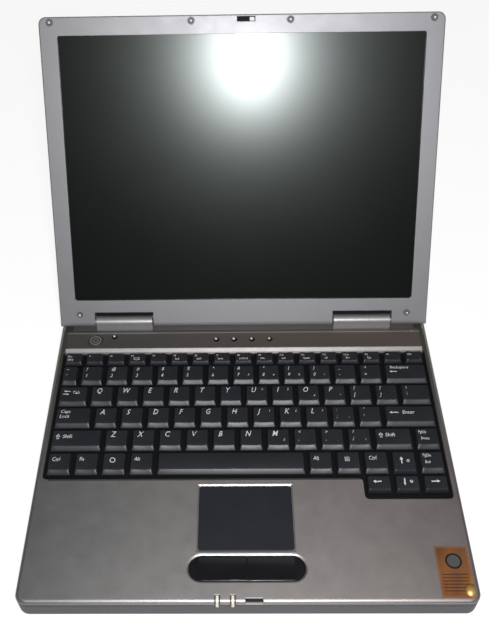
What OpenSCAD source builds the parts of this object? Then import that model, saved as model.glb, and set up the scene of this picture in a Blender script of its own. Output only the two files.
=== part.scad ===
// Twelve-inch ultraportable notebook computer, lid standing open.
// Base frame: X to the right, Y away from the user, Z up, origin on the table under the case's centre.

/* [Case] */
// Width of the case, side to side
case_w = 273.6; // [245:0.2:320]
// Depth of the case, front edge to back edge
case_d = 222.8; // [200:0.2:262]
// Height of the palm rest above the table, feet included
case_h = 18.4; // [17:0.1:21]
// Height of the palm rest's skirt, down to the parting line
skirt_h = 4.5; // [4:0.1:6]
// Height of the rubber feet
foot_h = 1.2; // [0.8:0.1:1.4]
// Radius of the rubber feet
foot_r = 6.0; // [4:0.5:8]
// Radius of the case's corners seen from above
corner_r = 7.0; // [5:0.5:10]
// Rounding of the palm rest's outer edge
edge_r = 2.5; // [1.5:0.1:3]
// Rounding of the underside's outer edge
belly_r = 2.4; // [1.5:0.1:3.4]
// Thickness of the case's side walls
wall = 1.6; // [1.2:0.1:2]
// Thickness of the case's floor
floor_t = 1.5;
// Thickness of the palm rest plate
top_t = 1.6;
// Depth and height of the reveal line between the two case halves
reveal = 0.5; // [0.3:0.1:0.7]

/* [Keyboard] */
// Space between neighbouring keys at their skirts
key_gap = 2.4; // [1.8:0.1:3]
// How far a key goes down
key_travel = 2.0; // [1.2:0.1:2]
// How far the key tops stand above the palm rest
key_rise = 0.3; // [0:0.1:0.4]
// Height of a keycap from skirt to top
key_h = 3.3;
// How far a key's front face leans back
key_lean = 2.4; // [1:0.1:2.8]
// How far a key's sides lean in
key_side_lean = 1.0; // [0.5:0.1:1.4]
// Width of the case rim beside the key field
key_rim = 4.9; // [4.6:0.1:8]

/* [Palm rest] */
// Width of the touchpad
pad_w = 58.6; // [48:0.2:64]
// Recess of the touchpad below the palm rest
pad_recess = 0.7; // [0.4:0.1:1]
// Width of the pair of touchpad buttons
button_w = 70.1; // [60:0.1:72]
// Depth of the touchpad buttons
button_d = 15.6; // [12:0.1:16]
// Travel of a touchpad button
button_travel = 0.4;
// Radius of the power button
power_r = 5.3; // [4:0.1:6]
// Travel of the power button
power_travel = 0.5;

/* [Lid] */
// Angle between the lid and the case: 0 is shut
lid_open = 120.4; // [90:0.2:140]
// Thickness of the lid
lid_t = 7.0; // [6.6:0.1:8]
// Gap between the shut lid and the palm rest
lid_gap = 1.0; // [0.9:0.1:1.6]
// Radius of the lid's outer corners
lid_corner_r = 5.0; // [4:0.5:8]
// Width of the bezel at each side of the screen
bezel_side = 12.0; // [10:0.2:16]
// Width of the bezel above the screen
bezel_top = 12.2; // [11.6:0.2:16]
// Width of the bezel under the screen, from the hinge axis
bezel_low = 17.4; // [16.6:0.2:24]

/* [Hinge] */
// Radius of the hinge pin
pin_r = 2.0; // [1.6:0.1:2.2]
// Running clearance between the pin and its knuckle
pin_gap = 0.05; // [0.03:0.01:0.08]
// Radius of the hinge covers
barrel_r = 4.0; // [3.9:0.1:4.4]
// Length of a hinge cover
barrel_len = 42.2; // [40:0.2:48]
// Distance from the case's centre line to a hinge cover
barrel_in = 67.8; // [62:0.2:70]

/* [Hidden] */
$fn = 64;
hw = case_w / 2;
hd = case_d / 2;
// heights
z_floor = foot_h + floor_t;
z_part = case_h - skirt_h;
z_top_in = case_h - top_t;
z_deck = case_h - 2.0;
z_deck_in = z_deck - 1.4;
z_ledge = case_h - 3.0;
z_ledge_in = z_ledge - 1.4;
// small clearances shared by all loose fits
fit = 0.3;
slip = 0.1;
over = 1.0;
// keyboard
key_unit = (case_w - 2 * key_rim + 0.1) / 14.5;
row_pitch = case_d * 0.0828;
key_depth = row_pitch - key_gap - 0.2;
fn_depth = key_depth * 0.615;
arrow_depth = key_depth * 0.73;
key_x0 = -14.5 / 2 * key_unit;
fn_pitch = 14.5 * key_unit / 17;
key_top = case_h + key_rise;
key_skirt = key_top - key_h;
key_roof = 0.9;
key_back_lean = 0.5;
well_x = 14.5 / 2 * key_unit + 0.4;
well_back = hd - 33.0;
y_fn = well_back - 0.6 - fn_depth;
y_num = y_fn - row_pitch;
y_q = y_num - row_pitch;
y_home = y_q - row_pitch;
y_shift = y_home - row_pitch;
y_space = y_shift - row_pitch;
y_arrow = y_space - arrow_depth - key_gap;
well_front = y_space - 4.2;
arrow_front = y_arrow - 5.6;
arrow_x = key_x0 + 11.5 * key_unit - 1.2;
well_wall = 1.2;
well_r = 3.0;
plate_top = key_skirt - key_travel - 0.2;
plate_t = 0.8;
plate_low = plate_top - plate_t;
support_top = key_skirt + 0.2;
support_gap = 0.4;
cap_wall = 0.9;
// control strip
strip_x = hw - 5.1;
strip_back = hd - 12.0;
strip_ridge = 3.6;
strip_wall = 1.2;
power_x = -0.402 * case_w;
power_y = strip_back - 9.6;
power_gap = 0.35;
lamp_r = 0.9;
lamp_y = strip_back - 8.4;
lamp_pitch = 13.2;
lamp_x = -20.1;
// touchpad and buttons
pad_back = arrow_front + (case_d * 0.0445);
pad_d = case_d * 0.199;
pad_front = pad_back - pad_d;
button_front = -hd + 13.8;
button_x = 0.45;
groove_r = 50.0;
rim_w = 1.1;
rim_d = 0.6;
board_t = 1.5;
button_t = 1.0;
// front edge
hook_x0 = -0.8;
hook_x1 = 9.5;
hook_d = 3.0;
pipe_w = 2.5;
pipe_d = 4.7;
pipe_xa = -17.3;
pipe_xb = -8.1;
pipe_low = z_part - 1.5;
// lid
hinge_y = hd - 6.4;
hinge_z = case_h + lid_gap + 3.2;
lid_len = hinge_y + hd;
v_face = 3.2;
v_seam = 1.6;
v_back = v_face - lid_t;
end_r = lid_t / 2;
end_v = v_face - end_r;
lid_wall = 1.5;
lid_skin = 1.2;
view_w = case_w - 2 * bezel_side;
view_d = lid_len - bezel_low - bezel_top;
module_w = view_w + 11.4;
module_low = bezel_low - 6.1;
module_high = lid_len - bezel_top + 6.1;
notch_in = barrel_in - 0.8;
notch_out = barrel_in + barrel_len + 0.8;
notch_u = 8.1;
skin_end = 3.0;
bump_r = 2.05;
bump_proud = 0.7;
latch_x0 = -2.8;
latch_x1 = 9.4;
latch_w = 3.4;
latch_travel = 3.5;
// hinge
knuckle_in = barrel_in + 22.0;
knuckle_out = barrel_in + 38.0;
barrel_wall = 0.7;
knuckle_r = barrel_r - barrel_wall - fit;
foot_z = z_floor + 2.3;
foot_t = 1.2;
cable_r = 1.5;
cable_x = -barrel_in - 8.2;
// inside the case
board_low = z_floor + 1.5;
board_th = 1.0;
board_x0 = -hw + 43.0;
board_x1 = hw - 8.8;
board_y0 = y_space + 0.5;
board_y1 = well_back - 0.6;
rear_y = hd - wall;
drive_x0 = -hw + wall + 0.6;
drive_x1 = drive_x0 + 0.366 * case_w;
drive_y0 = -hd + wall + 4.0;
drive_y1 = drive_y0 + case_d * 0.31;
pack_x0 = button_w / 2 + 1.2;
pack_x1 = hw - 4.8;
pack_y0 = -hd + 4.8;
pack_y1 = arrow_front - well_wall - 0.8;
pack_low = foot_h;
catch_x = (pack_x0 + pack_x1) / 2;
mem_x0 = 30.0;
mem_w = 67.6;
mem_y0 = y_shift;
mem_d = 31.75;
fan_x0 = -58.0;
fan_s = 27.6;
fan_y0 = rear_y - fan_s - 1.4;
fan_low = z_floor + 0.2;
fan_h = 6.2;
fan_r = 12.3;
hub_r = 4.5;
hub_bore = 1.05;
post_r = 1.0;
sink_x0 = fan_x0 + fan_s + 1.2;
sink_x1 = sink_x0 + 46.0;
jack_z = (z_floor + z_part) / 2;
usb_w = 13.1;
usb_h = 5.6;
usb_d = 14.0;
usb_z = z_floor + 0.5;
usb_xa = 26.0;
usb_xb = 41.5;
video_x = 57.0;
video_w = 20.0;
dc_x = hw - 14.8;
audio_ya = strip_back - 5.4;
audio_yb = strip_back - 15.4;
audio_r = 1.8;
slot_y0 = y_home + 6.0;
slot_w = 43.5;
slot_h = 4.4;
slot_z = z_floor + 0.45;
cage_d = 38.0;
cage_wall = 0.4;
eject_y = slot_y0 + slot_w + 3.4;
eject_s = 3.2;
eject_travel = 3.0;
lock_y = strip_back - 4.0;
screw_r = 2.2;

// what each part is made of, as preview colours
case_grey = [0.52, 0.52, 0.54];
bezel_grey = [0.66, 0.66, 0.70];
belly_grey = [0.30, 0.30, 0.32];
key_black = [0.10, 0.11, 0.13];
metal = [0.72, 0.73, 0.75];
board_green = [0.10, 0.30, 0.18];
dark = [0.08, 0.08, 0.09];

// a box given by its two opposite corners
module slab(x0, y0, z0, x1, y1, z1) {
  translate([x0, y0, z0])
    cube([x1 - x0, y1 - y0, z1 - z0]);
}

// outline with rounded corners, centred
module round_plan(w, d, r) {
  square([w - 2 * r, d], center = true);
  square([w, d - 2 * r], center = true);
  for (sx = [-1, 1], sy = [-1, 1])
    translate([sx * (w / 2 - r), sy * (d / 2 - r)])
      circle(r);
}

module round_block(w, d, h, r) {
  linear_extrude(h)
    round_plan(w, d, r);
}

// half of a slab's section, its upper outer edge rounded
module edge_profile(r, h, f) {
  square([r, h - f]);
  square([r - f, h]);
  translate([r - f, h - f])
    intersection() {
      circle(f);
      square([f + 1, f + 1]);
    }
}

// slab with rounded corners and a rounded upper edge, standing on z = 0
module pillow(w, d, h, r, f) {
  slab(-w / 2 + r, -d / 2 + r, 0, w / 2 - r, d / 2 - r, h);
  for (turn = [0, 180])
    rotate([0, 0, turn])
      translate([w / 2 - r, d / 2 - r, 0])
        rotate([90, 0, 0])
          linear_extrude(d - 2 * r)
            edge_profile(r, h, f);
  for (turn = [90, 270])
    rotate([0, 0, turn])
      translate([d / 2 - r, w / 2 - r, 0])
        rotate([90, 0, 0])
          linear_extrude(w - 2 * r)
            edge_profile(r, h, f);
  for (turn = [0, 180])
    rotate([0, 0, turn])
      translate([w / 2 - r, d / 2 - r, 0])
        rotate_extrude(angle = 90)
          edge_profile(r, h, f);
  for (turn = [90, 270])
    rotate([0, 0, turn])
      translate([d / 2 - r, w / 2 - r, 0])
        rotate_extrude(angle = 90)
          edge_profile(r, h, f);
}

// round bar along X between two places
module bar_x(x0, x1, y, z, r) {
  translate([x0, y, z])
    rotate([0, 90, 0])
      cylinder(h = x1 - x0, r = r);
}

// round bar along Y
module bar_y(y0, y1, x, z, r) {
  translate([x, y1, z])
    rotate([90, 0, 0])
      cylinder(h = y1 - y0, r = r);
}

// upright round bar
module bar_z(z0, z1, x, y, r) {
  translate([x, y, z0])
    cylinder(h = z1 - z0, r = r);
}

// section drawn in Y and Z, swept along X
module sweep_x(x0, x1) {
  translate([x0, 0, 0])
    rotate([90, 0, 90])
      linear_extrude(x1 - x0)
        children();
}

// puts a piece drawn in the lid's own axes (x, height up the lid, towards the user) in place
module on_lid() {
  translate([0, hinge_y, hinge_z])
    rotate([180 - lid_open, 0, 0])
      children();
}

// ---- case ----

// places of the screws in the underside
module at_screws() {
  for (sx = [-1, 1], y = [strip_back - 22, hd - 9])
    translate([sx * (hw - 8.5), y, 0])
      children();
  for (x = [-hw + 8.5, pack_x0 - 7])
    translate([x, -hd + 12, 0])
      children();
}

module bottom_case() {
  color(belly_grey) {
    difference() {
      translate([0, 0, z_part])
        mirror([0, 0, 1])
          pillow(case_w, case_d, z_part - foot_h, corner_r, belly_r);
      // the hollow
      translate([0, 0, z_floor])
        round_block(case_w - 2 * wall, case_d - 2 * wall, case_h, corner_r - wall);
      // reveal line under the palm rest
      difference() {
        translate([0, 0, z_part - reveal])
          linear_extrude(over)
            square([case_w + 2, case_d + 2], center = true);
        translate([0, 0, z_part - over])
          round_block(case_w - 2 * reveal, case_d - 2 * reveal, case_h, corner_r - reveal);
      }
      // battery bay
      slab(pack_x0 - fit, pack_y0 - fit, -over, pack_x1 + fit, pack_y1 + fit, z_floor + over);
      // battery latch slot
      slab(catch_x - 5, pack_y1 + 4, -over, catch_x + 5, pack_y1 + 13.5, z_floor + over);
      // memory bay
      slab(mem_x0 - 1, mem_y0 - 1, -over, mem_x0 + mem_w + 1, mem_y0 + mem_d + 1, z_floor + over);
      // light pipes
      for (x = [pipe_xa, pipe_xb])
        slab(x - pipe_w / 2 - fit, -hd - over, pipe_low - fit, x + pipe_w / 2 + fit, -hd + wall + over,
          case_h);
      // sockets at the back
      for (x = [usb_xa, usb_xb])
        slab(x - slip, rear_y - over, usb_z - slip, x + usb_w + slip, hd + over, usb_z + usb_h + slip);
      slab(video_x - slip, rear_y - over, usb_z - slip, video_x + video_w + slip, hd + over,
        usb_z + usb_h + slip);
      bar_y(rear_y - over, hd + over, dc_x, jack_z, 3.3);
      // warm air out
      for (i = [0:10])
        slab(sink_x0 + 2 + 4 * i, rear_y - over, z_floor + 0.6, sink_x0 + 4.2 + 4 * i, hd + over,
          z_part - 1);
      // fan inlet and speaker slots in the floor
      for (i = [0:4])
        slab(fan_x0 + 5 + 4 * i, fan_y0 + 6, -over, fan_x0 + 6.8 + 4 * i, fan_y0 + 22, z_floor + over);
      for (i = [0:3])
        slab(6 + 4 * i, pad_front + 10, -over, 7.6 + 4 * i, pad_front + 22, z_floor + over);
      // sockets and slots at the sides
      for (y = [audio_ya, audio_yb])
        bar_x(-hw - over, -hw + wall + over, y, jack_z, 2.9);
      slab(-hw - over, slot_y0, slot_z, -hw + wall + over, slot_y0 + slot_w, slot_z + slot_h);
      translate([0, eject_y, slot_z + slot_h / 2])
        slab(-hw - over, -eject_s / 2 - fit, -eject_s / 2 - fit, -hw + wall + over, eject_s / 2 + fit,
          eject_s / 2 + fit);
      slab(hw - wall - over, lock_y - 3.5, jack_z - 1.6, hw + over, lock_y + 3.5, jack_z + 1.6);
      // screw holes
      at_screws()
        bar_z(-over, foot_h + 1.0, 0, 0, screw_r + fit);
    }
    // lip the memory cover sits on
    difference() {
      slab(mem_x0 - 1.5, mem_y0 - 1.5, z_floor - 0.2, mem_x0 + mem_w + 1.5, mem_y0 + mem_d + 1.5,
        z_floor + 0.2);
      slab(mem_x0 + 0.4, mem_y0 + 0.4, 0, mem_x0 + mem_w - 0.4, mem_y0 + mem_d - 0.4, case_h);
    }
    // walls of the battery bay
    slab(pack_x0 - 2, -hd + wall - 0.2, z_floor - 0.5, pack_x0 - 0.6, pack_y1 + 1.8, z_part);
    difference() {
      slab(pack_x0 - 2, pack_y1 + 0.6, z_floor - 0.5, hw - wall + 0.2, pack_y1 + 1.8, plate_low - 0.2);
      slab(catch_x - 4.6, pack_y1, z_floor, catch_x + 4.6, pack_y1 + 2.4, z_floor + 2.6);
    }
    // standoffs for the board, the keyboard and the hinges
    for (x = [board_x0 + 5, board_x1 - 5], y = [board_y0 + 5, board_y1 - 5])
      bar_z(z_floor - 0.2, board_low, x, y, 2.2);
    for (x = [-hw + 8, hw - 4.6], y = [board_y0 + 2, board_y1 - 3])
      bar_z(z_floor - 0.2, plate_low, x, y, 2.4);
    for (sx = [-1, 1], x = [knuckle_in - 3, knuckle_out + 3])
      bar_z(z_floor - 0.2, foot_z, sx * x, hinge_y - 3, 3.0);
  }
}

// what a square corner loses when it is rounded; the corner is at the origin
module corner_trim(r) {
  difference() {
    translate([-1, -1])
      square([r + 1, r + 1]);
    translate([r, r])
      circle(r);
  }
}

// key field outline, grown by a margin, with its front corners rounded
module well_plan(grow) {
  difference() {
    union() {
      translate([-well_x - grow, well_front - grow])
        square([2 * well_x + 2 * grow, well_back - well_front + 2 * grow]);
      translate([arrow_x - grow, arrow_front - grow])
        square([well_x - arrow_x + 2 * grow, well_front - arrow_front + 2 * grow]);
    }
    translate([-well_x - grow, well_front - grow])
      corner_trim(well_r + grow);
    translate([arrow_x - grow, arrow_front - grow])
      corner_trim(well_r + grow);
    translate([well_x + grow, arrow_front - grow])
      mirror([1, 0])
        corner_trim(well_r + grow);
  }
  // the step beside the arrow keys is rounded the other way
  translate([arrow_x - grow, well_front - grow])
    mirror([1, 0])
      mirror([0, 1])
        intersection() {
          corner_trim(well_r - grow);
          square([well_r, well_r]);
        }
}

// outline of the two touchpad buttons together, grown by a margin
module button_plan(grow) {
  translate([button_x, button_front + button_d / 2]) {
    square([button_w - button_d, button_d + 2 * grow], center = true);
    for (sx = [-1, 1])
      translate([sx * (button_w - button_d) / 2, 0])
        circle(button_d / 2 + grow);
  }
}

// mouth of an opening that slopes up and out over the thickness of its rim
module rim_box(x0, y0, x1, y1) {
  grow = rim_w * 2;
  low = case_h - rim_d;
  high = case_h + rim_d;
  intersection() {
    translate([0, y1 + grow, 0])
      rotate([90, 0, 0])
        linear_extrude(y1 - y0 + 2 * grow)
          polygon([[x0, low], [x1, low], [x1 + grow, high], [x0 - grow, high]]);
    translate([x0 - grow, 0, 0])
      rotate([90, 0, 90])
        linear_extrude(x1 - x0 + 2 * grow)
          polygon([[y0, low], [y1, low], [y1 + grow, high], [y0 - grow, high]]);
  }
}

module rim_stadium() {
  r = button_d / 2 + fit;
  grow = rim_w * 2;
  run = button_w - button_d;
  translate([button_x, button_front + button_d / 2, case_h - rim_d]) {
    for (sx = [-1, 1])
      translate([sx * run / 2, 0, 0])
        cylinder(h = 2 * rim_d, r1 = r, r2 = r + grow);
    translate([-run / 2, 0, 0])
      rotate([90, 0, 90])
        linear_extrude(run)
          polygon([[-r, 0], [r, 0], [r + grow, 2 * rim_d], [-r - grow, 2 * rim_d]]);
  }
}

module palm_rest() {
  color(case_grey)
    difference() {
      union() {
        difference() {
          translate([0, 0, z_part])
            pillow(case_w, case_d, case_h - z_part, corner_r, edge_r);
          // hollow under the palm rest, the strip and the back deck
          intersection() {
            translate([0, 0, z_part - over])
              round_block(case_w - 2 * wall, case_d - 2 * wall, z_top_in - z_part + over, corner_r - wall);
            slab(-hw, -hd, 0, hw, well_back + well_wall + 0.4, case_h);
          }
          intersection() {
            translate([0, 0, z_part - over])
              round_block(case_w - 2 * wall, case_d - 2 * wall, z_ledge_in - z_part + over,
                corner_r - wall);
            slab(-hw, well_back + well_wall, 0, hw, hd, case_h);
          }
          // back deck lies lower
          slab(-hw - over, strip_back, z_deck, hw + over, hd + over, case_h + over);
        }
        // walls of the key field
        translate([0, 0, plate_top])
          linear_extrude(z_top_in + 0.4 - plate_top)
            well_plan(well_wall);
      }
      // key field
      linear_extrude(case_h + over)
        well_plan(0);
      // bed of the control strip
      slab(-strip_x - slip, well_back, z_ledge, strip_x + slip, strip_back + over, case_h + over);
      // touchpad and its buttons
      translate([0, (pad_front + pad_back) / 2, 0])
        round_block(pad_w + 2 * slip, pad_d + 2 * slip, case_h + over, 2.0);
      translate([0, 0, 0])
        linear_extrude(case_h + over)
          button_plan(fit);
      rim_box(-pad_w / 2 - slip, pad_front - slip, pad_w / 2 + slip, pad_back + slip);
      rim_stadium();
      // slot for the lid's hook
      slab(hook_x0, -hd - over, case_h - 1.8, hook_x1, -hd + hook_d, case_h + over);
      // light pipes
      for (x = [pipe_xa, pipe_xb])
        slab(x - pipe_w / 2 - fit, -hd - over, 0, x + pipe_w / 2 + fit, -hd + pipe_d + fit, case_h + over);
      // hinge webs and the display cable
      for (sx = [-1, 1])
        translate([sx * (knuckle_in + knuckle_out) / 2, hinge_y, 0])
          slab(-6.6, -2.6, 0, 6.6, 2.6, case_h);
      bar_z(0, case_h, cable_x, hinge_y, cable_r + fit);
    }
}

module control_cover() {
  color([0.34, 0.34, 0.36])
    difference() {
      sweep_x(-strip_x, strip_x)
        polygon([[well_back + slip, z_ledge], [well_back + slip, case_h - 2.5],
          [well_back + strip_ridge, case_h], [strip_back, case_h], [strip_back, z_ledge]]);
      slab(-strip_x + strip_wall, well_back + strip_ridge + 0.4, 0, strip_x - strip_wall,
        strip_back - strip_wall, case_h - 1.4);
      bar_z(0, case_h + over, power_x, power_y, power_r + power_gap);
      for (i = [0:3])
        bar_z(case_h - 0.8, case_h + over, lamp_x + lamp_pitch * i, lamp_y, lamp_r + fit);
      bar_z(case_h - 0.8, case_h + over, power_x + 13.6, power_y + 4.3, lamp_r + fit);
      // switch the shut lid presses
      bar_z(case_h - 0.6, case_h + over, -power_x + 15.5, strip_back - 3.2, 1.5);
    }
}

// hinge cover seen from the side
module barrel_section(r, spread) {
  translate([hinge_y, hinge_z])
    circle(r);
  polygon([[hinge_y - r, hinge_z], [hinge_y - r - spread, z_deck], [hinge_y + r + spread, z_deck],
    [hinge_y + r, hinge_z]]);
}

module barrel_shell(cable_hole) {
  difference() {
    sweep_x(barrel_in, barrel_in + barrel_len)
      barrel_section(barrel_r, 1.4);
    sweep_x(barrel_in + 1, barrel_in + barrel_len - 1)
      barrel_section(barrel_r - barrel_wall, 1.4);
    slab(barrel_in + 1, hinge_y - barrel_r - 0.6, z_deck - over, barrel_in + barrel_len - 1,
      hinge_y + barrel_r + 0.6, z_deck + 0.2);
    bar_x(barrel_in + barrel_len - 1.5, barrel_in + barrel_len + 1, hinge_y, hinge_z, pin_r + fit);
    bar_x(barrel_in - 1, barrel_in + 1.5, hinge_y, hinge_z, cable_hole);
  }
}

module hinge_cover_left() {
  color(case_grey)
    mirror([1, 0, 0])
      barrel_shell(cable_r + 0.5);
}

module hinge_cover_right() {
  color(case_grey)
    barrel_shell(0.6);
}

// knuckle on its foot
module hinge_base() {
  difference() {
    union() {
      bar_x(knuckle_in, knuckle_out, hinge_y, hinge_z, knuckle_r);
      slab(knuckle_in + 2, hinge_y - 2, foot_z, knuckle_out - 2, hinge_y + 2, hinge_z);
      slab(knuckle_in - 6, hinge_y - 7, foot_z, knuckle_out + 6, hinge_y + 3, foot_z + foot_t);
    }
    bar_x(knuckle_in - 1, knuckle_out + 1, hinge_y, hinge_z, pin_r + pin_gap);
    for (x = [knuckle_in - 3, knuckle_out + 3])
      bar_z(foot_z - 1, foot_z + foot_t + 1, x, hinge_y - 3, 1.2);
  }
}

module hinge_base_left() {
  color(metal)
    mirror([1, 0, 0])
      hinge_base();
}

module hinge_base_right() {
  color(metal)
    hinge_base();
}

// ---- inside the case ----

module mainboard() {
  color(board_green)
    difference() {
      union() {
        slab(board_x0, board_y0, board_low, board_x1, board_y1, board_low + board_th);
        slab(usb_xa - 2, board_y1 - 1, board_low, video_x + video_w + 2, hd - usb_d, board_low + board_th);
        // chips, plugs and coils
        slab(-24, y_q - 2, board_low + 0.5, 8, y_q + 28, board_low + 2.2);
        slab(-70, y_q, board_low + 0.5, -44, y_q + 26, board_low + 2.0);
        slab(-72, y_shift, board_low + 0.5, -52, y_shift + 14, board_low + 1.9);
        slab(-36, y_shift + 2, board_low + 0.5, -24, y_shift + 14, board_low + 1.9);
        slab(106, y_q, board_low + 0.5, 118, y_q + 20, board_low + 3.0);
        for (i = [0:3])
          slab(64 + 10 * i, y_q + 6, board_low + 0.5, 71 + 10 * i, y_q + 13, board_low + 2.8);
      }
      slab(mem_x0 - 1.6, mem_y0 - 1.6, 0, mem_x0 + mem_w + 1.6, mem_y0 + mem_d + 1.6, case_h);
    }
}

module heat_sink() {
  color([0.72, 0.44, 0.26]) {
    slab(sink_x0 + 2, y_q, board_low + 2.2, sink_x0 + 36, rear_y - 2, board_low + 3.1);
    for (i = [0:11])
      slab(sink_x0 + 0.6 + 4 * i, fan_y0 + 3, z_floor + 0.4, sink_x0 + 1.2 + 4 * i, rear_y - 1,
        z_ledge_in - 0.4);
    slab(sink_x0 + 0.6, fan_y0 + 3, board_low + 2.2, sink_x0 + 45.2, rear_y - 1, board_low + 3.1);
  }
}

module fan_housing() {
  color(dark) {
    difference() {
      slab(fan_x0, fan_y0, fan_low, fan_x0 + fan_s, fan_y0 + fan_s, fan_low + fan_h);
      bar_z(fan_low + 0.8, fan_low + fan_h - 0.8, fan_x0 + fan_s / 2, fan_y0 + fan_s / 2, fan_r);
      bar_z(fan_low + 1, fan_low + fan_h + 1, fan_x0 + fan_s / 2, fan_y0 + fan_s / 2, fan_r * 0.65);
      slab(fan_x0 + fan_s / 2, fan_y0 + 5, fan_low + 1.2, fan_x0 + fan_s + 1, fan_y0 + fan_s - 5,
        fan_low + fan_h - 1.2);
    }
    bar_z(fan_low + 0.4, fan_low + 4, fan_x0 + fan_s / 2, fan_y0 + fan_s / 2, post_r);
  }
}

module fan_rotor() {
  color([0.2, 0.2, 0.22])
    translate([fan_x0 + fan_s / 2, fan_y0 + fan_s / 2, fan_low + 1.3])
      difference() {
        union() {
          cylinder(h = fan_h - 2.4, r = hub_r);
          for (turn = [0:40:320])
            rotate([0, 0, turn])
              slab(hub_r - 1, -0.4, 0.2, fan_r - 1.1, 0.4, fan_h - 2.8);
        }
        translate([0, 0, -1])
          cylinder(h = 4, r = hub_bore);
      }
}

module hard_drive() {
  color([0.45, 0.46, 0.48]) {
    slab(drive_x0, drive_y0, z_floor + 0.1, drive_x1, drive_y1, z_floor + 3.4);
    slab(drive_x0 + 0.8, drive_y0 + 0.8, z_floor + 3.2, drive_x1 - 6, drive_y1 - 0.8, z_top_in - 0.1);
  }
}

module battery_pack() {
  color(dark)
    difference() {
      slab(pack_x0, pack_y0, pack_low, pack_x1, pack_y1, z_top_in - 0.2);
      slab(catch_x - 4.4, pack_y1 - 2, z_floor + 0.2, catch_x + 4.4, pack_y1 + 1, z_floor + 2.4);
      for (x = [pack_x0 + 10, pack_x1 - 22])
        slab(x, pack_y0 - 1, pack_low - 1, x + 12, pack_y0 + 6, pack_low + 0.5);
    }
}

module battery_latch() {
  color(belly_grey) {
    slab(catch_x - 4, pack_y1 - 1.6, z_floor + 0.5, catch_x + 4, pack_y1 + 3.5, z_floor + 2.1);
    slab(catch_x - 4, pack_y1 + 3, z_floor + 0.1, catch_x + 4, pack_y1 + 15.5, z_floor + 2.1);
    slab(catch_x - 4.4, pack_y1 + 4.6, foot_h + 0.2, catch_x + 4.4, pack_y1 + 10.2, z_floor + 0.6);
  }
}

module memory_module() {
  color(board_green) {
    slab(mem_x0, mem_y0, z_floor + 0.3, mem_x0 + mem_w, mem_y0 + mem_d, z_floor + 1.3);
    for (i = [0:3])
      slab(mem_x0 + 4 + 15.6 * i, mem_y0 + 8, z_floor + 1.1, mem_x0 + 17 + 15.6 * i, mem_y0 + 24,
        z_floor + 2.4);
  }
}

module memory_cover() {
  color(belly_grey)
    difference() {
      slab(mem_x0 - 0.8, mem_y0 - 0.8, foot_h + 0.1, mem_x0 + mem_w + 0.8, mem_y0 + mem_d + 0.8,
        z_floor - 0.2);
      for (i = [0:2])
        slab(mem_x0 + 8, mem_y0 + 6 + 3 * i, 0, mem_x0 + 22, mem_y0 + 7.4 + 3 * i, foot_h + 0.6);
    }
}

module speaker() {
  color(dark)
    difference() {
      translate([13, pad_front + 16, z_floor])
        cylinder(h = 5, r = 12);
      translate([13, pad_front + 16, z_floor + 0.8])
        cylinder(h = 3, r = 10);
      translate([13, pad_front + 16, z_floor - 1])
        cylinder(h = 3, r = 9);
    }
}

// ---- palm rest pieces ----

module touchpad() {
  color([0.16, 0.18, 0.26]) {
    translate([0, (pad_front + pad_back) / 2, z_top_in - 0.5])
      round_block(pad_w, pad_d, case_h - pad_recess - z_top_in + 0.5, 1.8);
    slab(-pad_w / 2 - 4, button_front + 2, z_top_in - board_t, pad_w / 2 + 4, pad_back + 2, z_top_in);
  }
}

// one half of the button pair; the split lies on the pair's centre line
module button_half(side) {
  intersection() {
    difference() {
      translate([0, 0, z_top_in + 0.5])
        linear_extrude(button_t)
          button_plan(0);
      // finger groove along the pair
      bar_x(button_x - button_w / 2 + 6, button_x + button_w / 2 - 6, button_front + button_d / 2,
        z_top_in + groove_r + 1.0, groove_r, $fn = 720);
    }
    translate([button_x + side * (button_w / 2 + 1), button_front + button_d / 2, z_top_in])
      cube([button_w + 1.5, button_d + 2, 10], center = true);
  }
}

module touchpad_button_left() {
  color(dark)
    button_half(-1);
}

module touchpad_button_right() {
  color(dark)
    button_half(1);
}

module power_button() {
  color([0.45, 0.45, 0.47])
    difference() {
      union() {
        bar_z(z_ledge + power_travel + 0.1, case_h - 0.1, power_x, power_y, power_r);
        bar_z(case_h - 0.3, case_h + 0.2, power_x, power_y, power_r - 1.2);
      }
      bar_z(case_h, case_h + 1, power_x, power_y, power_r - 2.2);
    }
}

// light pipe over the front edge, seen from the side
module pipe_section() {
  difference() {
    union() {
      translate([-hd + 0.1, pipe_low])
        square([pipe_d - 0.1, case_h - 0.1 - edge_r - pipe_low]);
      translate([-hd + 0.1 + edge_r, pipe_low])
        square([pipe_d - 0.1 - edge_r, case_h - 0.1 - pipe_low]);
      translate([-hd + 0.1 + edge_r, case_h - 0.1 - edge_r])
        circle(edge_r);
    }
    translate([-hd + wall, pipe_low - 1])
      square([pipe_d, z_top_in - pipe_low + 1]);
  }
}

module light_pipes() {
  color([0.93, 0.90, 0.78]) {
    for (x = [pipe_xa, pipe_xb])
      sweep_x(x - pipe_w / 2, x + pipe_w / 2)
        pipe_section();
    for (i = [0:3])
      bar_z(case_h - 0.8, case_h - 0.05, lamp_x + lamp_pitch * i, lamp_y, lamp_r);
    bar_z(case_h - 0.8, case_h - 0.05, power_x + 13.6, power_y + 4.3, lamp_r);
  }
}

module palm_sticker() {
  color([0.72, 0.50, 0.38])
    slab(hw - 23.1, -hd + 2.7, case_h, hw - 3.2, -hd + 35.2, case_h + 0.12);
}

// ---- sockets ----

module power_jack() {
  color(dark)
    difference() {
      union() {
        slab(dc_x - 4.4, rear_y - 9, z_floor, dc_x + 4.4, rear_y, z_part - 0.4);
        bar_y(rear_y - 1, hd - 0.3, dc_x, jack_z, 3.0);
      }
      difference() {
        bar_y(rear_y - 7, hd + 1, dc_x, jack_z, 2.3);
        bar_y(rear_y - 8, hd - 1.5, dc_x, jack_z, 0.65);
      }
    }
}

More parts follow.
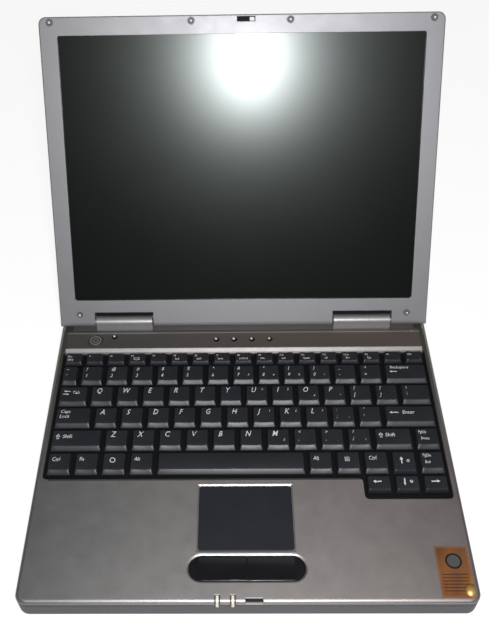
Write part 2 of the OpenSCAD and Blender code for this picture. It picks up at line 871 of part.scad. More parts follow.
module usb_shell(x) {
  difference() {
    slab(x, hd - usb_d, usb_z, x + usb_w, hd - 0.3, usb_z + usb_h);
    slab(x + 0.4, hd - usb_d + 1, usb_z + 0.4, x + usb_w - 0.4, hd + 1, usb_z + usb_h - 0.4);
  }
  slab(x + 1.2, hd - usb_d + 0.5, usb_z + 3.0, x + usb_w - 1.2, hd - 1.6, usb_z + 4.6);
}

module usb_sockets() {
  color(metal) {
    usb_shell(usb_xa);
    usb_shell(usb_xb);
  }
}

module video_connector() {
  color(metal) {
    difference() {
      slab(video_x, hd - usb_d, usb_z, video_x + video_w, hd - 0.3, usb_z + usb_h);
      slab(video_x + 0.6, hd - usb_d + 1, usb_z + 0.6, video_x + video_w - 0.6, hd + 1,
        usb_z + usb_h - 0.6);
    }
    slab(video_x + 2, hd - usb_d + 0.5, usb_z + 2.0, video_x + video_w - 2, hd - 2.4, usb_z + 3.6);
  }
}

module audio_jacks() {
  color(dark)
    difference() {
      union() {
        slab(-hw + wall, audio_yb - 4, z_floor, -hw + wall + 11, audio_ya + 4, z_part - 0.6);
        for (y = [audio_ya, audio_yb])
          bar_x(-hw + 0.3, -hw + wall + 0.5, y, jack_z, 2.6);
      }
      for (y = [audio_ya, audio_yb])
        bar_x(-hw - 1, -hw + wall + 9, y, jack_z, audio_r);
    }
}

module card_cage() {
  color(metal)
    difference() {
      slab(-hw + wall, slot_y0 - cage_wall, slot_z - cage_wall, -hw + wall + cage_d,
        slot_y0 + slot_w + cage_wall, slot_z + slot_h + cage_wall);
      slab(-hw, slot_y0, slot_z, -hw + wall + cage_d - 2, slot_y0 + slot_w, slot_z + slot_h);
      slab(-hw + wall + 12, slot_y0 + 8, slot_z, -hw + wall + 28, slot_y0 + slot_w - 8, case_h);
    }
}

module card_eject_button() {
  color(dark)
    translate([0, eject_y, slot_z + slot_h / 2]) {
      slab(-hw + 0.1, -eject_s / 2, -eject_s / 2, -hw + wall + 2, eject_s / 2, eject_s / 2);
      slab(-hw + wall + 1, -eject_s / 2, -0.6, -hw + wall + cage_d - 6, eject_s / 2 - 1.4, 0.6);
    }
}

module case_screws() {
  color(metal)
    difference() {
      at_screws()
        bar_z(foot_h + 0.1, foot_h + 1.0, 0, 0, screw_r);
      at_screws() {
        slab(-1.4, -0.25, foot_h - 1, 1.4, 0.25, foot_h + 0.6);
        slab(-0.25, -1.4, foot_h - 1, 0.25, 1.4, foot_h + 0.6);
      }
    }
}

module rubber_feet() {
  color(dark)
    for (sx = [-1, 1], y = [-hd + 28, hd - 28])
      bar_z(0, foot_h, sx * (hw - 22), y, foot_r);
}

// ---- keyboard ----

// one keycap: a side view and a front view intersected, then hollowed
module keycap(x0, x1, y0, y1, lean) {
  difference() {
    intersection() {
      sweep_x(x0, x1)
        polygon([[y0, key_skirt], [y1, key_skirt], [y1 - key_back_lean, key_top], [y0 + lean, key_top]]);
      translate([0, y1, 0])
        rotate([90, 0, 0])
          linear_extrude(y1 - y0)
            polygon([[x0, key_skirt], [x1, key_skirt], [x1 - key_side_lean, key_top],
              [x0 + key_side_lean, key_top]]);
    }
    slab(x0 + key_side_lean + cap_wall, y0 + lean + cap_wall, key_skirt - 1,
      x1 - key_side_lean - cap_wall, y1 - key_back_lean - cap_wall, key_top - key_roof);
  }
}

// a keycap from its place along the row, counted in key widths
module key_at(from, width, row_y) {
  keycap(key_x0 + from * key_unit + key_gap / 2, key_x0 + (from + width) * key_unit - key_gap / 2,
    row_y, row_y + key_depth, key_lean);
}

// small key in the function row
module fn_key_at(index) {
  keycap(key_x0 + index * fn_pitch + key_gap / 2, key_x0 + (index + 1) * fn_pitch - key_gap / 2, y_fn,
    y_fn + fn_depth, key_lean / 2);
}

// small key in the arrow row
module arrow_key_at(from) {
  keycap(key_x0 + from * key_unit + key_gap / 2, key_x0 + (from + 1) * key_unit - key_gap / 2, y_arrow,
    y_arrow + arrow_depth, key_lean * 0.7);
}

module function_keys() {
  color(key_black)
    for (i = [1:16])
      fn_key_at(i);
}

module number_keys() {
  color(key_black) {
    key_at(0, 0.75, y_num);
    for (i = [0:11])
      key_at(0.75 + i, 1, y_num);
  }
}

module letter_keys() {
  color(key_black) {
    for (i = [0:11])
      key_at(1.25 + i, 1, y_q);
    for (i = [0:10])
      key_at(1.5 + i, 1, y_home);
    for (i = [0:9])
      key_at(2 + i, 1, y_shift);
  }
}

module modifier_keys() {
  color(key_black) {
    key_at(13.25, 1.25, y_q);
    key_at(13.5, 1, y_shift);
    for (i = [0:3])
      key_at(i, 1, y_space);
    for (i = [0:2])
      key_at(9.5 + i, 1, y_space);
    key_at(13.5, 1, y_space);
  }
}

module space_bar() {
  color(key_black)
    key_at(4, 5.5, y_space);
}

module enter_key() {
  color(key_black)
    key_at(12.5, 2, y_home);
}

module backspace_key() {
  color(key_black)
    key_at(12.75, 1.75, y_num);
}

module tab_key() {
  color(key_black)
    key_at(0, 1.25, y_q);
}

module caps_lock_key() {
  color(key_black)
    key_at(0, 1.5, y_home);
}

module left_shift_key() {
  color(key_black)
    key_at(0, 2, y_shift);
}

module right_shift_key() {
  color(key_black)
    key_at(12, 1.5, y_shift);
}

module escape_key() {
  color(key_black)
    fn_key_at(0);
}

module up_arrow_key() {
  color(key_black)
    key_at(12.5, 1, y_space);
}

module down_arrow_key() {
  color(key_black)
    arrow_key_at(12.5);
}

module left_arrow_key() {
  color(key_black)
    arrow_key_at(11.5);
}

module right_arrow_key() {
  color(key_black)
    arrow_key_at(13.5);
}

module keyboard_plate() {
  color(metal)
    translate([0, 0, plate_low])
      linear_extrude(plate_t)
        well_plan(well_wall);
}

// rocker stand-in under one key
module support(x0, x1, y0, y1, lean) {
  slab(x0 + key_side_lean + cap_wall + support_gap, y0 + lean + cap_wall + support_gap, plate_top,
    x1 - key_side_lean - cap_wall - support_gap, y1 - key_back_lean - cap_wall - support_gap, support_top);
}

module support_at(from, width, row_y) {
  support(key_x0 + from * key_unit + key_gap / 2, key_x0 + (from + width) * key_unit - key_gap / 2,
    row_y, row_y + key_depth, key_lean);
}

module key_supports() {
  color(dark) {
    for (i = [0:16])
      support(key_x0 + i * fn_pitch + key_gap / 2, key_x0 + (i + 1) * fn_pitch - key_gap / 2, y_fn,
        y_fn + fn_depth, key_lean / 2);
    support_at(0, 0.75, y_num);
    for (i = [0:11])
      support_at(0.75 + i, 1, y_num);
    support_at(12.75, 1.75, y_num);
    support_at(0, 1.25, y_q);
    for (i = [0:11])
      support_at(1.25 + i, 1, y_q);
    support_at(13.25, 1.25, y_q);
    support_at(0, 1.5, y_home);
    for (i = [0:10])
      support_at(1.5 + i, 1, y_home);
    support_at(12.5, 2, y_home);
    support_at(0, 2, y_shift);
    for (i = [0:9])
      support_at(2 + i, 1, y_shift);
    support_at(12, 1.5, y_shift);
    support_at(13.5, 1, y_shift);
    for (i = [0:3])
      support_at(i, 1, y_space);
    support_at(4, 5.5, y_space);
    for (i = [0:2])
      support_at(9.5 + i, 1, y_space);
    for (i = [0:1])
      support_at(12.5 + i, 1, y_space);
    for (i = [0:2])
      support(key_x0 + (11.5 + i) * key_unit + key_gap / 2,
        key_x0 + (12.5 + i) * key_unit - key_gap / 2, y_arrow, y_arrow + arrow_depth, key_lean * 0.7);
  }
}

// ---- lid ----

// rounded lower end of the lid between two depths, seen from the side
module lid_end(v_from, v_to) {
  intersection() {
    translate([0, end_v])
      circle(end_r);
    translate([-end_r - 1, v_from])
      square([end_r + 1, v_to - v_from]);
  }
}

// the notches the hinge covers stand in
module lid_notches(grow) {
  for (sx = [-1, 1])
    translate([sx * (notch_in + notch_out) / 2, 0, 0])
      slab(-(notch_out - notch_in) / 2 - grow, -end_r - over, -lid_t,
        (notch_out - notch_in) / 2 + grow, notch_u + grow, lid_t);
}

module lid_cover() {
  color(case_grey)
    on_lid()
      difference() {
        union() {
          difference() {
            translate([0, (lid_len - 12) / 2, v_seam])
              mirror([0, 0, 1])
                pillow(case_w, lid_len + 12, v_seam - v_back, lid_corner_r, edge_r);
            slab(-hw - over, -20, -lid_t, hw + over, 0, lid_t);
          }
          sweep_x(-hw, hw)
            lid_end(v_back - over, v_seam);
        }
        // the tray's hollow
        difference() {
          slab(-hw + lid_wall, -1.5, v_back + lid_skin, hw - lid_wall, lid_len - lid_wall, lid_t);
          lid_notches(1.2);
        }
        difference() {
          lid_notches(0);
          // the tray's skin runs on behind each barrel
          difference() {
            slab(-hw, skin_end, v_back - over, hw, lid_len, v_back + lid_skin);
            bar_x(-hw, hw, 0, 0, barrel_r + 0.5);
          }
        }
        for (sx = [-1, 1])
          translate([sx * (notch_out + 1), 0, 0])
            bar_x(-2.4, 2.4, 0, 0, pin_r + 0.2);
        bar_x(-notch_in - 1, -notch_in + 2.4, 0, 0, cable_r + 0.3);
        // thumb slot in the upper edge
        slab(latch_x0, lid_len - lid_wall - over, v_seam - 2.4, latch_x1, lid_len + over, v_seam + over);
      }
}

module screen_bezel() {
  color(bezel_grey)
    on_lid()
      difference() {
        union() {
          difference() {
            translate([0, (lid_len - 12) / 2, v_seam])
              pillow(case_w, lid_len + 12, v_face - v_seam, lid_corner_r, 0.8);
            slab(-hw - over, -20, -lid_t, hw + over, 0, lid_t);
          }
          sweep_x(-hw, hw)
            lid_end(v_seam, v_face + over);
        }
        lid_notches(0);
        // the screen's window, its edge bevelled
        translate([0, bezel_low + view_d / 2, 0])
          round_block(view_w, view_d, lid_t, 1.5);
        // latch opening
        slab(latch_x0, lid_len - 4.5, v_seam - over, latch_x1, lid_len - 1.2, lid_t);
        at_bumps()
          bar_z(v_face - 0.8, v_face + 1, 0, 0, bump_r + fit);
        for (sx = [-1, 1])
          translate([sx * (notch_out + 2), 0, 0])
            bar_x(-3.4, 3.4, 0, 0, pin_r + 0.2);
      }
}

// places of the soft bumpers round the screen
module at_bumps() {
  for (p = [[-hw + 7.5, lid_len - 3.6], [-33.7, lid_len - 3.6], [33.1, lid_len - 3.6], [hw - 7.5,
    lid_len - 3.6]])
    translate([p[0], p[1], 0])
      children();
  for (sx = [-1, 1])
    translate([sx * (hw - 14.8), 6.3, 0])
      children();
}

module bezel_bumpers() {
  color([0.8, 0.8, 0.82])
    on_lid()
      at_bumps() {
        bar_z(v_face - 0.8, v_face + bump_proud, 0, 0, bump_r);
      }
}

module lcd_panel() {
  color([0.05, 0.06, 0.06])
    on_lid()
      slab(-module_w / 2 + 1, module_low + 1, -0.25, module_w / 2 - 1, module_high - 1, v_seam - 0.05);
}

module lcd_tray() {
  color(metal)
    on_lid()
      slab(-module_w / 2, module_low, v_back + lid_skin + 0.1, module_w / 2, module_high, -0.3);
}

module inverter_board() {
  color(board_green)
    on_lid() {
      slab(-50, 0.4, v_back + lid_skin + 0.1, 60, module_low - 0.6, v_back + lid_skin + 1.1);
      slab(30, 2, v_back + lid_skin + 0.8, 48, 8, v_seam - 0.3);
      slab(-40, 3, v_back + lid_skin + 0.8, -28, 8, v_seam - 0.8);
    }
}

module lid_latch() {
  color(metal)
    on_lid() {
      slab(latch_x0 + 1.6, lid_len - 5.6, -1, latch_x1 - 0.4, lid_len - lid_wall - 0.3, v_seam - 0.2);
      slab(latch_x1 - 0.4 - latch_w, lid_len - 4.2, v_seam - 1, latch_x1 - 0.4, lid_len - 1.7,
        v_face - 0.3);
    }
}

// pin, block and side strip of one hinge's upper half
module hinge_arm() {
  on_lid() {
    bar_x(knuckle_in - 4, notch_out + 3, 0, 0, pin_r);
    slab(notch_out + 1.6, -0.9, v_back + lid_skin + 0.1, hw - lid_wall - 0.3, module_low - 0.5,
      v_seam - 0.2);
    slab(module_w / 2 + 0.5, module_low - 1.5, v_back + lid_skin + 0.1, hw - lid_wall - 0.3,
      lid_len * 0.32, v_seam - 0.2);
  }
}

module hinge_arm_left() {
  color(metal)
    mirror([1, 0, 0])
      hinge_arm();
}

module hinge_arm_right() {
  color(metal)
    hinge_arm();
}

// ---- display cable, in two halves meeting on the hinge's axis ----

module base_display_cable() {
  color(dark) {
    bar_z(board_low + board_th + 0.6, hinge_z, cable_x, hinge_y, cable_r);
    bar_x(cable_x, -barrel_in - 0.3, hinge_y, hinge_z, cable_r);
    translate([cable_x, hinge_y, hinge_z])
      sphere(cable_r);
  }
}

module lid_display_cable() {
  color(dark)
    on_lid() {
      bar_x(-barrel_in - 0.3, -barrel_in + 8, 0, 0, cable_r);
      translate([-barrel_in + 8, 0, 0])
        sphere(cable_r);
      bar_y(0, module_low - 0.2, -barrel_in + 8, 0, cable_r);
    }
}

bottom_case();
palm_rest();
control_cover();
hinge_cover_left();
hinge_cover_right();
hinge_base_left();
hinge_base_right();
mainboard();
heat_sink();
fan_housing();
fan_rotor();
hard_drive();
battery_pack();
battery_latch();
memory_module();
memory_cover();
speaker();
touchpad();
touchpad_button_left();
touchpad_button_right();
power_button();
light_pipes();
power_jack();
usb_sockets();
video_connector();
audio_jacks();
card_cage();
card_eject_button();
case_screws();
rubber_feet();
palm_sticker();
keyboard_plate();
key_supports();
lid_cover();
screen_bezel();
lcd_panel();
lcd_tray();
inverter_board();
lid_latch();
bezel_bumpers();
hinge_arm_left();
hinge_arm_right();
lid_display_cable();
base_display_cable();
function_keys();
number_keys();
letter_keys();
modifier_keys();
space_bar();
enter_key();
backspace_key();
tab_key();
caps_lock_key();
left_shift_key();
right_shift_key();
escape_key();
up_arrow_key();
down_arrow_key();
left_arrow_key();
right_arrow_key();
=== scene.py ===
# %% [markdown]
# # A thin notebook computer, lid open
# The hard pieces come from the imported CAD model, in metres, and stay where it puts them.
# This lesson gives them their finishes, and swaps the plain keycaps for moulded ones
# with printed legends. It ends with the lamps, the table and the camera.

# %% Load the model
import bpy
import math
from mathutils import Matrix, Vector


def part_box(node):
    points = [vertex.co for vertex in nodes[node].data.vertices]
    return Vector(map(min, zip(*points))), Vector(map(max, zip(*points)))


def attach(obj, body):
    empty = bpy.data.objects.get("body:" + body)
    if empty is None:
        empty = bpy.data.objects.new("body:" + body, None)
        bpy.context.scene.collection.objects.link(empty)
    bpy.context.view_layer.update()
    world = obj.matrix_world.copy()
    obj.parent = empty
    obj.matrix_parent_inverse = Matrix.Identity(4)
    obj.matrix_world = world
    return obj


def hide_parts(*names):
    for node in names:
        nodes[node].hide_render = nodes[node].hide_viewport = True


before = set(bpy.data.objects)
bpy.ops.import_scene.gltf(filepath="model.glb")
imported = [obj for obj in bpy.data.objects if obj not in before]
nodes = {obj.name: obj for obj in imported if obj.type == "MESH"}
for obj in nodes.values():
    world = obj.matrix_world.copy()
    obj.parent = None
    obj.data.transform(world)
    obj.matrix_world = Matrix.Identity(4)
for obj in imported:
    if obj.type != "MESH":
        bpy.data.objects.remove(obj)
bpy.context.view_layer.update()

MM = 0.001
print("pieces in the model:", len(nodes))

# %% [markdown]
# ## A small language for finishes
# A finish is a tree of shader nodes. Wiring it by hand is long to read, so one class
# wraps a socket and lets sums be written as sums: `0.4 + 0.2 * speckle` adds the Math
# nodes it needs. Everything that isn't a sum comes from `Finish.node`.

# %% Sockets that can be added and multiplied
class Wire:
    def __init__(self, finish, socket):
        self.finish, self.socket = finish, socket

    def math(self, operation, other, swap=False):
        pair = [other, self] if swap else [self, other]
        return self.finish.node("ShaderNodeMath", {"operation": operation}, {0: pair[0], 1: pair[1]})

    def __add__(self, other):
        return self.math("ADD", other)

    def __radd__(self, other):
        return self.math("ADD", other, True)

    def __sub__(self, other):
        return self.math("SUBTRACT", other)

    def __rsub__(self, other):
        return self.math("SUBTRACT", other, True)

    def __mul__(self, other):
        return self.math("MULTIPLY", other)

    def __rmul__(self, other):
        return self.math("MULTIPLY", other, True)

    def __truediv__(self, other):
        return self.math("DIVIDE", other)

    def over(self, limit):
        return self.math("GREATER_THAN", limit)

    def under(self, limit):
        return self.math("LESS_THAN", limit)


class Finish:
    """A material with a Principled shader; `look` holds the shader's fixed numbers."""

    def __init__(self, name, **look):
        self.material = bpy.data.materials.new(name)
        self.material.use_nodes = True
        self.tree = self.material.node_tree
        self.shader = self.tree.nodes["Principled BSDF"]
        for socket, value in look.items():
            self.shader.inputs[socket.replace("_", " ")].default_value = value

    def node(self, kind, settings=None, sockets=None, out=0):
        made = self.tree.nodes.new(kind)
        for key, value in (settings or {}).items():
            if key == "stops":
                ramp = made.color_ramp
                while len(ramp.elements) < len(value):
                    ramp.elements.new(0.5)
                for stop, (place, colour) in zip(ramp.elements, value):
                    stop.position, stop.color = place, colour
            else:
                setattr(made, key, value)
        for key, value in (sockets or {}).items():
            if isinstance(value, Wire):
                self.tree.links.new(value.socket, made.inputs[key])
            else:
                made.inputs[key].default_value = value
        return Wire(self, made.outputs[out])

    def feed(self, socket, wire):
        self.tree.links.new(wire.socket, self.shader.inputs[socket])

    def place(self):
        return self.node("ShaderNodeTexCoord", out="Object")

    def axes(self):
        split = self.node("ShaderNodeSeparateXYZ", sockets={0: self.place()})
        sockets = split.socket.node.outputs
        return [Wire(self, sockets[i]) for i in range(3)]

    def noise(self, per_metre, detail=2.0, rough=0.5):
        return self.node("ShaderNodeTexNoise", sockets={
            "Vector": self.place(), "Scale": per_metre, "Detail": detail, "Roughness": rough})

    def mix(self, mask, first, second):
        made = self.tree.nodes.new("ShaderNodeMix")
        made.data_type = "RGBA"
        self.tree.links.new(mask.socket, made.inputs[0])
        for index, colour in ((6, first), (7, second)):
            if isinstance(colour, Wire):
                self.tree.links.new(colour.socket, made.inputs[index])
            else:
                made.inputs[index].default_value = (*colour, 1.0)
        return Wire(self, made.outputs[2])

    def soft_edges(self, radius):
        return self.node("ShaderNodeBevel", {"samples": 6}, {"Radius": radius})

    def bump(self, height, depth, strength=1.0, normal=None):
        sockets = {"Height": height, "Distance": depth, "Strength": strength}
        if normal:
            sockets["Normal"] = normal
        return self.node("ShaderNodeBump", {}, sockets)

    def absolute(self, wire):
        return self.node("ShaderNodeMath", {"operation": "ABSOLUTE"}, {0: wire})


trial = Finish("trial")
step = 0.4 + 0.2 * trial.noise(100.0)
print("0.4 + 0.2 * noise made", len(trial.tree.nodes) - 2, "nodes, the last one:",
      step.socket.node.operation)
bpy.data.materials.remove(trial.material)

# %% [markdown]
# ## Silver paint
# The case and the frame round the screen wear a metallic lacquer: tiny flakes in a grey
# base. One noise at flake size lifts and drops the colour and the gloss a little, a
# slower one gives the handled, slightly uneven tone, and a fine bump is the lacquer's
# orange peel. The real mouldings have small radii on every edge, so the finish rounds
# the shading there instead of adding thousands of faces.
#
# `warm` tints the right side, and `fade` darkens both sides, where less of the lamp is
# thrown back. `lines` run from side to side between two Y places, and `spots` are rings
# between two radii; where they are used, they carry painted highlights and painted shade.
# `rim` is where the raised rim beside the keys begins: the band inside it is painted dark,
# painted shade that grows darker towards the back, and the rim itself is painted light, a
# painted highlight that grows towards the back. Below `skirt`, the height of the wall's
# top edge, the face is painted dark: painted shade, as in the parting groove under the
# rolled edge.

# %% Mix the silver paints
FADE_X, RIM_W = 10 * MM, 6 * MM


def silver_paint(name, dark, light, edge=0.6 * MM, warm=None, metallic=0.6, rough=0.47, lines=(),
                 spots=(), skirt=None, rim=None, fade=0.0):
    paint = Finish(name, Metallic=metallic, Coat_Weight=0.12, Coat_Roughness=0.25)
    flakes = paint.noise(2600.0, 1.0)
    cloud = paint.noise(14.0, 3.0)
    wear = paint.noise(90.0, 4.0, 0.65)
    tone = paint.mix(0.24 * cloud + 0.72 * flakes + 0.01, dark, light)
    across, depth, up = paint.axes()
    if warm:
        tone = paint.mix(1.6 * across + 0.3 * cloud + 0.05, tone, warm)
    if fade:
        off_middle = across - FADE_X
        tone = paint.mix(fade * off_middle * off_middle, tone, (0.12, 0.12, 0.12))
    outward = paint.absolute(across)
    for front, back, shade in lines:
        stripe = depth.over(front) * depth.under(back) * outward.under(rim - RIM_W if rim else 1.0)
        tone = paint.mix(stripe, tone, shade)
    for x, y, inner, outer, shade in spots:
        reach = (across - x) * (across - x) + (depth - y) * (depth - y)
        tone = paint.mix(reach.over(inner * inner) * reach.under(outer * outer), tone, shade)
    if rim:
        # painted shade in the band beside the keys, darker towards the back
        shade_beside_keys = outward.over(rim - RIM_W) * outward.under(rim) * (0.26 + 9.0 * depth)
        tone = paint.mix(shade_beside_keys, tone, (0.16, 0.16, 0.14))
        # painted highlight on the rim, stronger towards the back
        tone = paint.mix(outward.over(rim) * (0.15 + 6.5 * depth), tone, (0.72, 0.73, 0.67))
    if skirt:
        # painted shade on the wall under the rolled edge, as in the parting groove
        tone = paint.mix(up.under(skirt), tone, (0.080, 0.079, 0.087))
    paint.feed("Base Color", tone)
    paint.feed("Roughness", rough + 0.16 * wear - 0.06 + 0.05 * flakes)
    peel = paint.noise(900.0, 2.0)
    paint.feed("Normal", paint.bump(0.6 * peel + 0.4 * flakes, 0.04 * MM, 0.35, paint.soft_edges(edge)))
    return paint.material


# painted shade: a dark line in front of the keys, where the moulding rolls down into the keyboard's well
keys_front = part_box("space_bar")[0].y
well_front = keys_front - 4.2 * MM
palm_paint = silver_paint(
    "palm_silver", (0.30, 0.295, 0.29), (0.53, 0.525, 0.525), edge=0.7 * MM,
    warm=(0.47, 0.37, 0.345), metallic=0.88, rough=0.45,
    lines=[(well_front - 1.3 * MM, well_front + 0.4 * MM, (0.13, 0.125, 0.115))],
    skirt=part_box("palm_rest")[1].z - 2.1 * MM, rim=134.5 * MM, fade=20.0)
print("well's front edge, mm:", round(well_front / MM, 1), "space bar's:", round(keys_front / MM, 1))
bezel_paint = silver_paint("bezel_silver", (0.265, 0.26, 0.28), (0.45, 0.445, 0.47), metallic=0.55, fade=12.0)
lid_paint = silver_paint("lid_silver", (0.24, 0.24, 0.255), (0.38, 0.38, 0.40))

# painted highlights: a pale band on the strip's raised ridge and a thin pale line along
# its back; painted shade: a dark ring round each status light, a little in front of it
dark_strip, light_strip = (0.085, 0.082, 0.078), (0.15, 0.145, 0.14)
# painted highlights on the ridge's crest and along the strip's back
ridge_and_back_highlights = [(79.7 * MM, 82.3 * MM, (0.315, 0.303, 0.30)), (96.4 * MM, 97.3 * MM, (0.34, 0.33, 0.32))]
lights_at = [(-20.1, 91.0), (-6.9, 91.0), (6.3, 91.0), (19.5, 91.0), (-96.4, 94.1)]
# painted shade round each status light, a little in front of it
shade_round_lights = [((x + 0.4) * MM, (y - 1.0) * MM, 0.0, 2.2 * MM, (0.012, 0.011, 0.010)) for x, y in lights_at]
strip_paint = silver_paint("strip_grey", dark_strip, light_strip, 0.9 * MM, warm=(0.25, 0.17, 0.125),
                           lines=ridge_and_back_highlights, spots=shade_round_lights)
button_low, button_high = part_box("power_button")
button_mid = ((button_low.x + button_high.x) / 2, (button_low.y + button_high.y) / 2)
# painted on the button: two pale rings, painted highlights, with a dark ring between them, painted shade
button_paint = silver_paint("button_grey", dark_strip, light_strip, 0.5 * MM, spots=[
    (*button_mid, 3.3 * MM, 3.9 * MM, (0.42, 0.41, 0.40)),
    (*button_mid, 1.7 * MM, 2.3 * MM, (0.36, 0.35, 0.34)),
    (*button_mid, 2.4 * MM, 3.2 * MM, (0.015, 0.015, 0.015))])
barrel_paint = silver_paint("barrel_silver", (0.325, 0.32, 0.32), (0.50, 0.495, 0.505), 0.8 * MM, rough=0.36)
paints = [palm_paint, bezel_paint, lid_paint, strip_paint, button_paint, barrel_paint]
print("paints:", [paint.name for paint in paints])

# %% [markdown]
# ## Moulded plastics and rubber
# The keys, sockets and underside are bare mouldings with a fine spark-eroded grain. A
# tight noise is that grain, and a slow one carries skin grease that polishes the key
# tops unevenly. `grain` sets the texture's depth, and below a given height the plastic
# is painted near black: painted shade, as in the gap round it.

# %% Mix the plastics
def plastic(name, colour, rough, grain=0.02 * MM, edge=0.4 * MM, spread=0.35, grease=0.12,
            shade_below=None, **look):
    made = Finish(name, **look)
    texture = made.noise(1900.0, 2.0)
    slow = made.noise(60.0, 3.0)
    low = tuple(c * (1 - spread) for c in colour)
    high = tuple(c * (1 + spread) for c in colour)
    tone = made.mix(0.5 * slow + 0.5 * texture, low, high)
    if shade_below:
        up = made.axes()[2]
        # painted shade: near black below the given height
        tone = made.mix(up.under(shade_below), tone, (0.002, 0.002, 0.002))
    made.feed("Base Color", tone)
    made.feed("Roughness", rough + grease * slow - grease / 2 + 0.04 * texture)
    made.feed("Normal", made.bump(texture, grain, 0.6, made.soft_edges(edge) if edge else None))
    return made.material


key_plastic = plastic("key_black", (0.015, 0.0165, 0.021), 0.42, edge=None, Specular_IOR_Level=0.6)
frame_plastic = plastic("keyboard_frame", (0.004, 0.004, 0.005), 0.6, Specular_IOR_Level=0.2)
belly_plastic = plastic("belly_grey", (0.060, 0.060, 0.066), 0.55, 0.05 * MM, 0.6 * MM)
wall_plastic = plastic("case_wall", (0.080, 0.081, 0.092), 0.46, 0.03 * MM, 0.6 * MM, 0.15, Metallic=0.3)
dark_plastic = plastic("socket_black", (0.012, 0.012, 0.013), 0.45)
gloss_plastic = plastic("button_gloss", (0.008, 0.008, 0.010), 0.16, 0.004 * MM, 0.5 * MM, 0.3, 0.06)
pad_plastic = plastic("pad_blue_grey", (0.012, 0.0145, 0.0195), 0.42, 0.015 * MM, spread=0.2,
                      shade_below=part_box("touchpad")[1].z - 0.3 * MM)
foot_rubber = plastic("foot_rubber", (0.014, 0.014, 0.014), 0.75, 0.04 * MM, 0.5 * MM)
board_resin = plastic("board_green", (0.012, 0.075, 0.035), 0.35, 0.01 * MM)
print("plastics mixed, the darkest:", frame_plastic.name)

# %% [markdown]
# The bumpers round the screen are small rubber studs. Each is painted with a pale crown
# and a darker ring round it. Their centres are found in the mesh, by gathering the points
# that lie close to each other.

# %% Find the bumpers and mix their rubber
STUD_REACH, RING_R, CROWN_R = 6 * MM, 1.75 * MM, 1.15 * MM
centres = []
for vertex in nodes["bezel_bumpers"].data.vertices:
    near = [c for c in centres if (c[0] / c[1] - vertex.co).length < STUD_REACH]
    if near:
        near[0][0] += vertex.co
        near[0][1] += 1
    else:
        centres.append([vertex.co.copy(), 1])
rubber = Finish("bumper_rubber")
across, depth, up = rubber.axes()
dust = rubber.noise(400.0, 3.0)
tone = rubber.mix(dust, (0.15, 0.15, 0.17), (0.22, 0.22, 0.24))
for total, count in centres:
    spot = total / count
    from_x, from_y, from_z = across - spot.x, depth - spot.y, up - spot.z
    reach = from_x * from_x + from_y * from_y + from_z * from_z
    tone = rubber.mix(reach.under(RING_R ** 2), tone, (0.05, 0.05, 0.055))
    tone = rubber.mix(reach.under(CROWN_R ** 2), tone, (0.66, 0.66, 0.69))
rubber.feed("Base Color", tone)
rubber.feed("Roughness", 0.45 + 0.2 * dust)
rubber.feed("Normal", rubber.bump(dust, 0.03 * MM, 0.6, rubber.soft_edges(0.4 * MM)))
bumper_rubber = rubber.material
print("bumpers found:", len(centres))

# %% [markdown]
# The status lights and the two light pipes in the front edge are clear resin. A pipe is
# bright along its middle and painted dark brown at its sides: painted shade of the slot
# round it, seen through the resin. The mask measures how far a point is from the nearer
# of the two pipes' middle lines.

# %% Mix the clear resin
PIPES_AT = (-17.3 * MM, -8.1 * MM)
CLEAR_HALF = 0.775 * MM
FRONT_EDGE = -100 * MM
low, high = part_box("light_pipes")
lens = Finish("light_lens", Coat_Weight=0.4)
across, depth = lens.axes()[:2]
haze = lens.noise(900.0, 2.0)
off_left, off_right = [lens.absolute(across - x) for x in PIPES_AT]
nearest = lens.node("ShaderNodeMath", {"operation": "MINIMUM"}, {0: off_left, 1: off_right})
# painted shade of the slot, at the pipes' sides near the front edge
slot_shade = nearest.over(CLEAR_HALF) * depth.under(FRONT_EDGE)
clear = lens.mix(haze, (0.62, 0.58, 0.50), (0.88, 0.85, 0.76))
lens.feed("Base Color", lens.mix(slot_shade, clear, (0.13, 0.085, 0.05)))
lens.feed("Roughness", 0.22 + 0.15 * haze)
lens.feed("Normal", lens.bump(haze, 0.006 * MM, 0.4, lens.soft_edges(0.3 * MM)))
lens_plastic = lens.material
print("light pipes, mm:", [round(v / MM, 1) for v in (high - low)])

# %% [markdown]
# ## Bare metals
# The hinge pins, socket shells and screws are plated steel, drawn or stamped, so their
# brushed lines run one way. Stretching the noise along X gives those lines. The heat
# sink is bare copper with a tarnish that dulls it in patches.

# %% Mix the metals
def brushed(name, dark, light, rough, stretch=(0.05, 1.0, 1.0)):
    made = Finish(name, Metallic=1.0)
    long_way = made.node("ShaderNodeMapping", sockets={0: made.place(), 3: stretch})
    lines = made.node("ShaderNodeTexNoise", sockets={"Vector": long_way, "Scale": 1800.0, "Detail": 2.0})
    dull = made.noise(70.0, 3.0)
    made.feed("Base Color", made.mix(0.6 * lines + 0.4 * dull, dark, light))
    made.feed("Roughness", rough + 0.18 * dull - 0.05 + 0.08 * lines)
    made.feed("Normal", made.bump(lines, 0.01 * MM, 0.4, made.soft_edges(0.3 * MM)))
    return made.material


plated_steel = brushed("plated_steel", (0.42, 0.42, 0.43), (0.66, 0.66, 0.67), 0.26)
drive_metal = brushed("drive_metal", (0.34, 0.35, 0.36), (0.52, 0.52, 0.54), 0.38)
copper = brushed("copper", (0.55, 0.26, 0.13), (0.80, 0.42, 0.24), 0.30)
print("metals:", plated_steel.name, drive_metal.name, copper.name)

# %% [markdown]
# ## The screen
# The panel is switched off: near black with a green-grey cast, under an anti-glare film
# whose etched surface spreads every reflection into a soft glow with no outline. The
# roughness sets how wide that glow is. A border a little darker than the picture area
# shows where the cells end.

